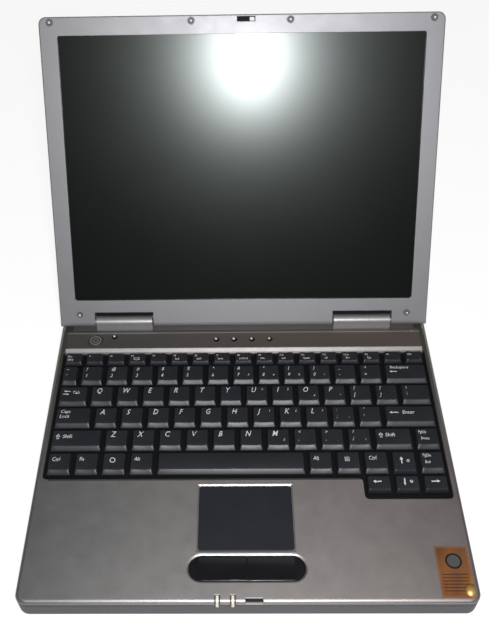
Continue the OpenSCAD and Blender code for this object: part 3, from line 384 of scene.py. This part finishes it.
# %% Mix the screen and its film
PICTURE_HALF = 122.9 * MM
screen_low, screen_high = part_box("lcd_panel")
screen = Finish("screen_film", Specular_IOR_Level=0.62, Specular_Tint=(0.91, 1.0, 0.98, 1.0))
smudge = screen.noise(22.0, 4.0, 0.6)
etch = screen.noise(3200.0, 1.0)
across = screen.axes()[0]
border = screen.absolute(across).over(PICTURE_HALF)
field = screen.mix(0.7 * smudge, (0.0010, 0.0022, 0.0013), (0.0028, 0.0046, 0.0034))
screen.feed("Base Color", screen.mix(border, field, (0.0015, 0.0018, 0.0016)))
screen.feed("Roughness", 0.235 + 0.02 * smudge + 0.01 * etch)
screen.feed("Normal", screen.bump(etch, 0.002 * MM, 0.1))
screen_film = screen.material
print("screen height, mm:", round((screen_high.z - screen_low.z) / MM, 1))

# %% [markdown]
# ## The foil label
# A metallised paper label sits on the right of the palm rest. Its own printing is left
# off: thin rules and a plain round seal take its place, on copper and gold that shift
# across the foil, partly its own colour and partly a painted reflection, brightest towards
# the lower right. They are comparisons on the X and Y axes, so they stay put. The lower
# right corner has begun to curl: a dome in the shading catches the lamp there, and a
# painted highlight tints the base colour pale gold on the same spot.

# %% Mix the foil
RULES, FOIL_W, FOIL_L = 16.0, 20.0, 32.5
SEAL_AT, CURL_AT = (10.5, 23.0), (17.9, 4.9)
# the edges of the seal, its face and the curl, as squared distances in mm
SEAL_EDGE, FACE_EDGE, CURL_EDGE = 25.0, 15.0, 16.0
foil_low, foil_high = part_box("palm_sticker")
foil = Finish("label_foil", Metallic=0.7, Coat_Weight=0.3, Coat_Roughness=0.15)
across, depth = foil.axes()[:2]
along = (depth - foil_low.y) / (foil_high.y - foil_low.y)
side = (across - foil_low.x) / (foil_high.x - foil_low.x)
shift = foil.noise(60.0, 2.0)
# copper and gold across the label: partly the foil's colour, partly a painted reflection
tint_and_painted_sheen = foil.node("ShaderNodeValToRGB", {"stops": [
    (0.0, (0.26, 0.12, 0.06, 1)), (0.35, (0.44, 0.17, 0.06, 1)), (0.60, (0.33, 0.14, 0.07, 1)),
    (0.85, (0.50, 0.20, 0.06, 1)), (1.0, (0.80, 0.42, 0.12, 1))]},
    {"Fac": 0.75 * side - 0.30 * along + 0.45 * shift + 0.02})


def reach_from(place):
    """The squared distance in mm from a place given from the label's lower left corner."""
    from_x, from_y = side * FOIL_W - place[0], along * FOIL_L - place[1]
    return from_x * from_x + from_y * from_y


rule = foil.node("ShaderNodeMath", {"operation": "FRACT"}, {0: along * RULES}).under(0.36)
in_rules = along.under(0.50) * along.over(0.08) * side.over(0.12) * side.under(0.88)
border = 1.0 - side.over(0.06) * side.under(0.94) * along.over(0.035) * along.under(0.965)
inked = foil.mix(rule * in_rules * 0.7, tint_and_painted_sheen, (0.06, 0.03, 0.018))
off_seal = reach_from(SEAL_AT)
seal = foil.mix(off_seal.under(SEAL_EDGE), inked, (0.03, 0.03, 0.03))
seal = foil.mix(off_seal.under(FACE_EDGE), seal, (0.17, 0.17, 0.16))
edged = foil.mix(border * 0.6, seal, (0.50, 0.25, 0.13))
dome = 1.0 - reach_from(CURL_AT) / CURL_EDGE
curl_and_painted_glint = foil.node("ShaderNodeMath", {"operation": "MAXIMUM"}, {0: dome, 1: 0.0})
curled = foil.bump(curl_and_painted_glint, 1.6 * MM)
# painted highlight: the base colour turns pale gold on the curl
foil.feed("Base Color", foil.mix(curl_and_painted_glint * 1.3, edged, (0.90, 0.55, 0.17)))
foil.feed("Roughness", 0.28 + 0.2 * shift)
foil.feed("Normal", foil.bump(foil.noise(700.0, 2.0), 0.03 * MM, 0.4, curled))
label_foil = foil.material
print("label, mm:", [round(v / MM, 1) for v in (foil_high - foil_low)])

# %% [markdown]
# ## Dress the CAD pieces
# A piece whose shape is right keeps its CAD mesh and only takes a finish. One table says
# which. Curved faces are shaded smooth, and sharp edges stay sharp by their angle.

# %% Give each CAD piece its finish
finishes = {
    palm_paint: "palm_rest",
    barrel_paint: "hinge_cover_left hinge_cover_right",
    strip_paint: "control_cover",
    button_paint: "power_button",
    lid_paint: "lid_cover",
    bezel_paint: "screen_bezel lid_latch",
    wall_plastic: "bottom_case battery_latch memory_cover",
    belly_plastic: "battery_pack",
    frame_plastic: "keyboard_plate key_supports fan_housing fan_rotor speaker",
    dark_plastic: "power_jack audio_jacks card_eject_button base_display_cable lid_display_cable",
    gloss_plastic: "touchpad_button_left touchpad_button_right",
    pad_plastic: "touchpad",
    lens_plastic: "light_pipes",
    foot_rubber: "rubber_feet",
    bumper_rubber: "bezel_bumpers",
    board_resin: "mainboard memory_module inverter_board",
    plated_steel: "hinge_base_left hinge_base_right hinge_arm_left hinge_arm_right usb_sockets "
                  "video_connector card_cage case_screws",
    drive_metal: "hard_drive lcd_tray",
    copper: "heat_sink",
    screen_film: "lcd_panel",
    label_foil: "palm_sticker",
}


def dress(piece, material):
    piece.data.materials.clear()
    piece.data.materials.append(material)
    piece.data.polygons.foreach_set("use_smooth", [True] * len(piece.data.polygons))
    piece.data.set_sharp_from_angle(angle=math.radians(28))


for material, names in finishes.items():
    for name in names.split():
        dress(nodes[name], material)
print("CAD pieces dressed:", sum(len(names.split()) for names in finishes.values()))

# %% [markdown]
# Two pieces need a second finish. Only the latch's thumb piece is silver. The faces inside
# the tray and the notch walls behind the hinges take the black frame plastic, so the
# notches look dark. The tray's inside faces look the way the bumpers' crowns do, and lie
# further in than its rim.

# %% Darken the inside of the tray and the latch
NOTCH_FROM, NOTCH_TO, RIM_DEPTH, THUMB_FROM = 55 * MM, 108 * MM, 1.5 * MM, 5.4 * MM


def second_finish(piece, material, wanted):
    """Give a second finish to the faces that `wanted` picks, and count them."""
    piece.data.materials.append(material)
    picked = [face for face in piece.data.polygons if wanted(face)]
    for face in picked:
        face.material_index = 1
    return len(picked)


crown = max(nodes["bezel_bumpers"].data.polygons, key=lambda face: face.area)
flat = crown.normal.copy()
flat *= -1 if flat.y > 0 else 1
tray_rim = max(face.center.dot(flat) for face in nodes["lid_cover"].data.polygons)


def inside_tray(face):
    facing = face.normal.dot(flat) > 0.9 and face.center.dot(flat) < tray_rim - RIM_DEPTH
    notch_wall = abs(face.normal.x) > 0.9 and NOTCH_FROM < abs(face.center.x) < NOTCH_TO
    return facing or notch_wall


def beside_thumb(face):
    return face.center.x < THUMB_FROM


print("faces inside the tray:", second_finish(nodes["lid_cover"], frame_plastic, inside_tray))
print("faces beside the thumb piece:", second_finish(nodes["lid_latch"], frame_plastic, beside_thumb))

# %% [markdown]
# ## Where the keys lie
# The whole field is fourteen and a half key widths across, so two outer keys give the
# width of one, and each row's front and back come from a key in that row. The top row
# fits seventeen keys into the same width. `GAP` is the space between two skirts.

# %% Measure the key field
GAP = 2.4 * MM
field_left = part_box("escape_key")[0].x - GAP / 2
field_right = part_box("right_arrow_key")[1].x + GAP / 2
KEY = (field_right - field_left) / 14.5
FN_KEY = (field_right - field_left) / 17


def row_of(node):
    low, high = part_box(node)
    return low.y, high.y, low.z, high.z


rows = {"fn": row_of("escape_key"), "num": row_of("backspace_key"), "q": row_of("tab_key"),
        "home": row_of("caps_lock_key"), "shift": row_of("left_shift_key"),
        "space": row_of("space_bar"), "arrow": row_of("left_arrow_key")}
print("key pitch, mm:", round(KEY / MM, 2), "rows:", len(rows))

# %% [markdown]
# ## One keycap
# A moulded cap is a short pyramid with rounded corners, a long front slope and a top
# that is hollowed from side to side for the fingertip. It is lofted from rings of
# points: skirt, slope, shoulder, then ever smaller rings across the top, each dropped
# by the dish. The space bar is crowned instead, for the thumb, and the up arrow has a
# steep front slope like the other arrows. Every cap is also hollow underneath.

# %% Loft a keycap
LONG_LEAN, STEEP_LEAN = 2.9 * MM, 1.3 * MM
LEAN = {"fn": 1.5 * MM, "arrow": STEEP_LEAN}
SIDE, BACK = 1.0 * MM, 0.5 * MM
WIDE_TOP = 20 * MM


class Cap:
    def __init__(self, row, start, width, kind="dish"):
        self.y0, self.y1, self.z0, self.z1 = rows[row]
        pitch = FN_KEY if row == "fn" else KEY
        self.x0 = field_left + start * pitch + GAP / 2
        self.x1 = field_left + (start + width) * pitch - GAP / 2
        self.kind = kind
        self.lean = STEEP_LEAN if kind == "steep" else LEAN.get(row, LONG_LEAN)
        self.top = (self.x0 + SIDE, self.x1 - SIDE, self.y0 + self.lean, self.y1 - BACK)

    def drop(self, x, y):
        left, right, front, back = self.top
        u = min(1.0, abs(2 * x - left - right) / (right - left))
        v = (2 * y - front - back) / (back - front)
        if self.kind == "crown":
            return 0.35 * MM * v * v
        depth, power = (0.42 * MM, 2.0) if right - left < WIDE_TOP else (0.30 * MM, 6.0)
        return depth * (1 - u ** power) + 0.06 * MM * v * v

    def ring(self, t, z, inset, radius, dished):
        left, right = self.x0 + SIDE * t + inset, self.x1 - SIDE * t - inset
        front, back = self.y0 + self.lean * t + inset, self.y1 - BACK * t - inset
        radius = min(radius, 0.45 * (right - left), 0.45 * (back - front))
        points = []
        corners = ((right, back, 0), (left, back, 90), (left, front, 180), (right, front, 270))
        sides_end = {0: (left + radius, back), 90: (left, front + radius),
                     180: (right - radius, front), 270: (right, back - radius)}
        for cx, cy, turn in corners:
            sx, sy = (1 if turn in (0, 270) else -1), (1 if turn < 180 else -1)
            for step in range(5):
                angle = math.radians(turn + 22.5 * step)
                points.append((cx + radius * (math.cos(angle) - sx), cy + radius * (math.sin(angle) - sy)))
            run = 8 if turn in (0, 180) else 4
            x, y = points[-1]
            to_x, to_y = sides_end[turn]
            points.extend((x + (to_x - x) * i / run, y + (to_y - y) * i / run) for i in range(1, run))
        return [(x, y, z - dished * self.drop(x, y)) for x, y in points]

    def rings(self):
        half = (self.top[3] - self.top[2]) / 2
        low, high = self.z0, self.z1
        rise = high - low
        loops = [self.ring(0.8, high - 0.88 * MM, 0.5 * MM, 1.2 * MM, 0),
                 self.ring(0.0, low, 0.9 * MM, 0.5 * MM, 0),
                 self.ring(0.0, low, 0.0, 0.7 * MM, 0),
                 self.ring(0.05, low + 0.27 * rise, 0.0, 0.8 * MM, 0),
                 self.ring(0.10, low + 0.33 * rise, 0.0, 0.8 * MM, 0),
                 self.ring(0.88, low + 0.925 * rise, 0.0, 1.2 * MM, 1),
                 self.ring(0.97, low + 0.975 * rise, 0.02 * MM, 1.3 * MM, 1),
                 self.ring(1.0, high - 0.03 * MM, 0.18 * MM, 1.3 * MM, 1)]
        for share in (0.09, 0.25, 0.45, 0.65, 0.85):
            loops.append(self.ring(1.0, high, share * half, 1.5 * MM, 1))
        return loops


def loft(caps, name, material, body, *stands_for):
    points, faces = [], []
    for cap in caps:
        loops = cap.rings()
        start, size = len(points), len(loops[0])
        for loop in loops:
            points.extend(loop)
        for level in range(len(loops) - 1):
            for i in range(size):
                a, b = start + level * size + i, start + level * size + (i + 1) % size
                faces.append((a, b, b + size, a + size))
        faces.append(tuple(start + i for i in reversed(range(size))))
        faces.append(tuple(start + (len(loops) - 1) * size + i for i in range(size)))
    mesh = bpy.data.meshes.new(name)
    mesh.from_pydata(points, [], faces)
    piece = bpy.data.objects.new(name, mesh)
    bpy.context.scene.collection.objects.link(piece)
    dress(piece, material)
    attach(piece, body)
    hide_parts(*stands_for)


sample = Cap("home", 12.5, 2)
print("one cap is", len(sample.rings()), "rings of", len(sample.rings()[0]), "points; its top, mm:",
      [round((b - a) / MM, 1) for a, b in (sample.top[:2], sample.top[2:])])

# %% [markdown]
# ## The whole keyboard
# Most caps move in fixed groups, and the big ones each ride their own body, so that
# they can be pressed. A line of the first table says: piece, body, node, caps.

# %% Make all the keycaps
def run_of(row, start, count):
    return [Cap(row, start + i, 1) for i in range(count)]


letters = run_of("q", 1.25, 12) + run_of("home", 1.5, 11) + run_of("shift", 2, 10)
at_right = [Cap("q", 13.25, 1.25), Cap("shift", 13.5, 1), Cap("space", 13.5, 1)]
groups = {
    "function_caps": ("base", "function_keys", run_of("fn", 1, 16)),
    "number_caps": ("base", "number_keys", [Cap("num", 0, 0.75)] + run_of("num", 0.75, 12)),
    "letter_caps": ("base", "letter_keys", letters),
    "modifier_caps": ("base", "modifier_keys", at_right + run_of("space", 0, 4) + run_of("space", 9.5, 3)),
}
single = {"space_bar": Cap("space", 4, 5.5, "crown"), "enter_key": Cap("home", 12.5, 2),
          "backspace_key": Cap("num", 12.75, 1.75), "tab_key": Cap("q", 0, 1.25),
          "caps_lock_key": Cap("home", 0, 1.5), "left_shift_key": Cap("shift", 0, 2),
          "right_shift_key": Cap("shift", 12, 1.5), "escape_key": Cap("fn", 0, 1),
          "up_arrow_key": Cap("space", 12.5, 1, "steep"), "down_arrow_key": Cap("arrow", 12.5, 1),
          "left_arrow_key": Cap("arrow", 11.5, 1), "right_arrow_key": Cap("arrow", 13.5, 1)}
for name, (body, node, caps) in groups.items():
    loft(caps, name, key_plastic, body, node)
for node, cap in single.items():
    loft([cap], node.replace("_key", "") + "_cap", key_plastic, node + "_body", node)
print("keycaps made:", sum(len(g[2]) for g in groups.values()) + len(single))

# %% [markdown]
# ## Printed legends
# The legends are pad-printed in white, slanted, near the top left of each cap. Blender's
# own font gives the outlines. Each word is turned into a flat mesh once, then copied
# into place and laid on the dished top point by point, a hair above it, like ink. The
# type is fattened a little, and that can throw one point far out at a sharp corner. It
# goes back to its neighbour.

# %% Turn text into flat outlines
INK_LIFT = 0.035 * MM
FATTER, STRAY = 0.006, 1.5
CAPITAL = 0.72
ink = Finish("legend_ink", Roughness=0.5)
ink_wear = ink.noise(500.0, 3.0)
ink.feed("Base Color", ink.mix(ink_wear, (0.50, 0.51, 0.53), (0.80, 0.81, 0.84)))
ink.feed("Roughness", 0.4 + 0.2 * ink_wear)
lettering = bpy.data.curves.new("lettering", "FONT")
lettering.resolution_u = 2
lettering.offset = FATTER
lettering_object = bpy.data.objects.new("lettering", lettering)
bpy.context.scene.collection.objects.link(lettering_object)
outlines, printed = {}, {}


def outline(text, slant):
    if (text, slant) not in outlines:
        lettering.body, lettering.shear = text, slant
        bpy.context.view_layer.update()
        graph = bpy.context.evaluated_depsgraph_get()
        mesh = bpy.data.meshes.new_from_object(lettering_object.evaluated_get(graph))
        flat = [(v.co.x, v.co.y) for v in mesh.vertices]
        for i, (x, y) in enumerate(flat):
            if abs(y) > STRAY:
                flat[i] = flat[i - 1]
                print("pulled in a stray point of", text)
        outlines[text, slant] = (flat, [tuple(p.vertices) for p in mesh.polygons])
        bpy.data.meshes.remove(mesh)
    return outlines[text, slant]


def lay(cap, body, points, faces):
    store, flats = printed.setdefault(body, ([], []))
    start = len(store)
    for x, y in points:
        store.append((x, y, cap.z1 - cap.drop(x, y) + INK_LIFT))
    flats.extend(tuple(start + i for i in face) for face in faces)


def on_top(cap, at):
    """The place on a cap's top, `at` being shares of it from its upper left corner."""
    left, right, front, back = cap.top
    return left + at[0] * (right - left), back - at[1] * (back - front)


def legend(cap, body, text, right, down, size, slant=0.28, stretch=0.76):
    x, y = on_top(cap, (right, down))
    y -= CAPITAL * size * MM
    points, faces = outline(text, slant)
    lay(cap, body, [(x + px * size * MM * stretch, y + py * size * MM) for px, py in points], faces)


print("points in the outline of E:", len(outline("E", 0.28)[0]))

# %% [markdown]
# Arrows and small pictures are drawn as shapes, not taken from the font: a bar with a
# head, a hollow arrow for the shift keys, plain rings, an empty frame and a page with
# lines.

# %% Shapes for arrows and pictures
ARROW_OUTSIDE = [(0, 1), (-0.8, 0.1), (-0.36, 0.1), (-0.36, -0.8), (0.36, -0.8), (0.36, 0.1), (0.8, 0.1)]
ARROW_INSIDE = [(0, 0.66), (-0.42, 0.27), (-0.19, 0.27), (-0.19, -0.62), (0.19, -0.62), (0.19, 0.27),
                (0.42, 0.27)]


def band(count):
    """The faces between two loops of `count` points, listed one after the other."""
    return [(i, (i + 1) % count, count + (i + 1) % count, count + i) for i in range(count)]


def bars(cap, body, boxes, at):
    cx, cy = on_top(cap, at)
    for x0, y0, x1, y1 in boxes:
        corners = [(x0, y0), (x1, y0), (x1, y1), (x0, y1)]
        lay(cap, body, [(cx + x * MM, cy + y * MM) for x, y in corners], [(0, 1, 2, 3)])


def arrow(cap, body, at, size, turn, hollow=False, tail=1.0):
    cx, cy = on_top(cap, at)
    if hollow:
        points, faces = ARROW_OUTSIDE + ARROW_INSIDE, band(7)
    else:
        head = [(0, 1), (-0.5, 0.2), (0.5, 0.2)]
        points = head + [(-0.17, 0.25), (0.17, 0.25), (0.17, -tail), (-0.17, -tail)]
        faces = [(0, 1, 2), (3, 6, 5, 4)]
    c, s = size * MM * math.cos(math.radians(turn)), size * MM * math.sin(math.radians(turn))
    lay(cap, body, [(cx + c * x - s * y, cy + s * x + c * y) for x, y in points], faces)


def ring_mark(cap, body, at, outer, inner):
    cx, cy = on_top(cap, at)
    circle = [(math.cos(a * math.pi / 12), math.sin(a * math.pi / 12)) for a in range(24)]
    points = [(cx + r * MM * x, cy + r * MM * y) for r in (outer, inner) for x, y in circle]
    lay(cap, body, points, band(24))


print("points in a shift arrow:", len(ARROW_OUTSIDE + ARROW_INSIDE))

# %% [markdown]
# ## What each cap says
# Letters stand alone; number and sign keys carry two marks, one above the other, and
# the keys that double as a number pad have a small digit at the lower right. The top
# row has small words, with a second word or a picture below. The numbers after a word
# are its place on the cap's top, across and down, and the size of its type in mm.

# %% Print the legends
caps_of = {name: caps for name, (body, node, caps) in groups.items()}
fn_words = ["F1", "F2", "F3", "F4", "F5 lcd", "F6 wifi", "F7 batt", "F8 crt/lcd", "F9 dim", "F10 vol",
            "F11 mute", "F12 cd", "Num Scr", "Prt Sys", "Ins", "Del"]
for cap, words in zip(caps_of["function_caps"], fn_words):
    word, *second = words.split()
    legend(cap, "base", word, 0.10, 0.20, 2.4, 0.1)
    if second:
        legend(cap, "base", second[0], 0.22, 0.56, 2.6, 0.0, 0.95)
frame_lines = [(-2, 0.6, 2, 1.0), (-2, -1.0, 2, -0.6), (-2, -0.6, -1.6, 0.6), (1.6, -0.6, 2, 0.6)]
bars(caps_of["function_caps"][2], "base", frame_lines, (0.46, 0.66))

pairs = ["~`", "!1", "@2", "#3", "$4", "%5", "^6", "&7", "*8", "(9", ")0", "_-", "+="]
pad = dict(zip("7890UIOPJKL;M./", "789/456*123-0.+"))
for cap, pair in zip(caps_of["number_caps"], pairs):
    legend(cap, "base", pair[0], 0.17, 0.05, 4.0)
    legend(cap, "base", pair[1], 0.15, 0.53, 4.2)
    if pair[1] in pad:
        legend(cap, "base", pad[pair[1]], 0.70, 0.60, 2.8)
signs = dict(zip("[];',./", "{}:\"<>?"))
for cap, key in zip(caps_of["letter_caps"], "QWERTYUIOP[]" + "ASDFGHJKL;'" + "ZXCVBNM,./"):
    if key in signs:
        legend(cap, "base", signs[key], 0.16, 0.06, 3.7)
        legend(cap, "base", key, 0.15, 0.52, 3.9)
    else:
        legend(cap, "base", key, 0.20, 0.07, 6.2)
    if key in pad:
        legend(cap, "base", pad[key], 0.74, 0.16 if key in "UIJKL" else 0.60, 2.6)

marks = caps_of["modifier_caps"]
legend(marks[0], "base", "|", 0.14, 0.06, 2.9)
legend(marks[0], "base", "\\", 0.13, 0.50, 3.1)
for cap, upper, lower in ((marks[1], "PgUp", "Home"), (marks[2], "PgDn", "End")):
    legend(cap, "base", upper, 0.08, 0.10, 3.4, 0.12)
    legend(cap, "base", lower, 0.16, 0.52, 3.0, 0.12)
for place, word in ((3, "Ctrl"), (4, "Fn"), (6, "Alt"), (7, "Alt"), (9, "Ctrl")):
    legend(marks[place], "base", word, 0.14, 0.22, 4.2, 0.15)
ring_mark(marks[5], "base", (0.42, 0.42), 1.9, 1.35)
page_lines = [(-1.5, 1.2, 1.5, 1.6), (-1.5, -1.6, 1.5, -1.2), (-1.5, -1.2, -1.1, 1.2), (1.1, -1.2, 1.5, 1.2),
              (-0.7, 0.5, 0.7, 0.75), (-0.7, -0.1, 0.7, 0.15), (-0.7, -0.7, 0.7, -0.45)]
bars(marks[8], "base", page_lines, (0.44, 0.42))
print("faces printed on the fixed caps:", len(printed["base"][1]))

# %% [markdown]
# The keys that ride bodies of their own come last. Shift has a hollow arrow, enter,
# backspace and tab have long ones, and each printed body becomes one mesh.

# %% Print the keys that move
legend(single["escape_key"], "escape_key_body", "stby", 0.10, 0.58, 2.6, 0.0, 1.0)
words = [("escape_key", "Esc", 0.08, 0.20, 2.6), ("tab_key", "Tab", 0.46, 0.26, 3.6),
         ("caps_lock_key", "Caps", 0.10, 0.10, 3.7), ("caps_lock_key", "Lock", 0.09, 0.42, 3.7),
         ("left_shift_key", "Shift", 0.20, 0.26, 4.0), ("right_shift_key", "Shift", 0.26, 0.26, 4.0),
         ("enter_key", "Enter", 0.34, 0.26, 4.0), ("backspace_key", "Backspace", 0.10, 0.08, 3.4)]
for name, word, right, down, size in words:
    legend(single[name], name + "_body", word, right, down, size, 0.15, 0.95)
arrows = [("left_shift_key", (0.11, 0.42), 2.2, 0, 1.0), ("right_shift_key", (0.14, 0.42), 2.2, 0, 1.0),
          ("enter_key", (0.13, 0.40), 2.0, 90, 2.2), ("backspace_key", (0.15, 0.50), 1.8, 90, 2.0),
          ("tab_key", (0.24, 0.30), 1.8, 90, 1.4), ("tab_key", (0.24, 0.50), 1.8, 270, 1.4),
          ("up_arrow_key", (0.38, 0.44), 2.5, 0, 1.0), ("down_arrow_key", (0.38, 0.42), 2.5, 180, 1.0),
          ("left_arrow_key", (0.38, 0.40), 2.4, 90, 1.3), ("right_arrow_key", (0.52, 0.40), 2.4, 270, 1.3)]
for name, at, size, turn, tail in arrows:
    arrow(single[name], name + "_body", at, size, turn, "shift" in name, tail)
for name, at in (("up_arrow_key", (0.68, 0.48)), ("down_arrow_key", (0.68, 0.40))):
    ring_mark(single[name], name + "_body", at, 1.0, 0.55)
for body, (points, faces) in printed.items():
    mesh = bpy.data.meshes.new("legends_" + body)
    mesh.from_pydata(points, [], faces)
    piece = bpy.data.objects.new("legends_" + body, mesh)
    bpy.context.scene.collection.objects.link(piece)
    piece.data.materials.append(ink.material)
    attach(piece, body)
bpy.data.objects.remove(lettering_object)
print("legend faces:", sum(len(f) for _, f in printed.values()))

# %% [markdown]
# ## The table and the sky
# The object stands on a pale table. The camera sees table and sky as nearly white, but
# the object is lit by very little of that white, so its dark pieces stay dark. The
# table still takes the object's shadow.

# %% Put it on a pale table
TABLE_UNDER = 0.2 * MM
bpy.ops.mesh.primitive_plane_add(size=6.0, location=(0, 0.5, -TABLE_UNDER))
table = bpy.context.object
table.name = "table"
top = Finish("table_white", Roughness=0.8)
patch = top.noise(3.0, 2.0)
top.feed("Base Color", top.mix(patch, (0.86, 0.86, 0.86), (0.90, 0.90, 0.90)))
seen = top.node("ShaderNodeLightPath", out="Is Camera Ray")
glow = top.node("ShaderNodeEmission", sockets={"Color": (1, 1, 1, 1), "Strength": 1.12})
lit = Wire(top, top.shader.outputs[0])
blend_in = top.node("ShaderNodeMixShader", sockets={0: 0.80 * seen, 1: lit, 2: glow})
top.tree.links.new(blend_in.socket, top.tree.nodes["Material Output"].inputs[0])
table.data.materials.append(top.material)

sky = bpy.data.worlds.new("studio")
bpy.context.scene.world = sky
sky.use_nodes = True
sky.node_tree.nodes["Background"].inputs[0].default_value = (1, 1, 1, 1)
sky.node_tree.nodes["Background"].inputs[1].default_value = 0.07
path = sky.node_tree.nodes.new("ShaderNodeLightPath")
white = sky.node_tree.nodes.new("ShaderNodeBackground")
white.inputs[1].default_value = 1.0
either = sky.node_tree.nodes.new("ShaderNodeMixShader")
sky.node_tree.links.new(path.outputs["Is Camera Ray"], either.inputs[0])
sky.node_tree.links.new(sky.node_tree.nodes["Background"].outputs[0], either.inputs[1])
sky.node_tree.links.new(white.outputs[0], either.inputs[2])
sky.node_tree.links.new(either.outputs[0], sky.node_tree.nodes["World Output"].inputs[0])
print("table and sky set")

# %% [markdown]
# ## Lamps and camera
# One small lamp beside the camera does most of the work. It lights the front slopes of
# the keys, the rolled front edge and the rims of the touchpad, and it is what the
# screen's film throws back as a soft glow. A wide weak lamp overhead fills the shadows.

# %% Hang the lamps and place the camera
def lamp(name, place, aim, size, watts, tall=None):
    data = bpy.data.lights.new(name, "AREA")
    data.shape, data.size, data.energy = "ELLIPSE", size, watts
    data.size_y = tall or size
    made = bpy.data.objects.new(name, data)
    bpy.context.scene.collection.objects.link(made)
    made.location = place
    made.rotation_euler = (Vector(aim) - Vector(place)).to_track_quat("-Z", "Y").to_euler()


eye = Vector((-4.76, -307.65, 484.93)) * MM
lamp("small_lamp", eye + Vector((0.020, -0.004, 0.004)), (0, 0, 0.05), 0.05, 3.0, tall=0.12)
lamp("ceiling_lamp", (0.3, -0.2, 1.6), (0, 0, 0), 1.4, 2.0)

view = bpy.data.cameras.new("view")
view.sensor_width, view.lens = 36.0, 47.25
view.shift_x, view.shift_y = 0.0366, 0.0082
camera = bpy.data.objects.new("view", view)
bpy.context.scene.collection.objects.link(camera)
camera.location = eye
camera.rotation_euler = [math.radians(a) for a in (41.895, 1.071, 0.357)]
bpy.context.scene.camera = camera
bpy.context.scene.view_settings.view_transform = "Standard"
print("camera to the middle of the keys, m:", round((eye - Vector((0, 0.02, 0.018))).length, 3))
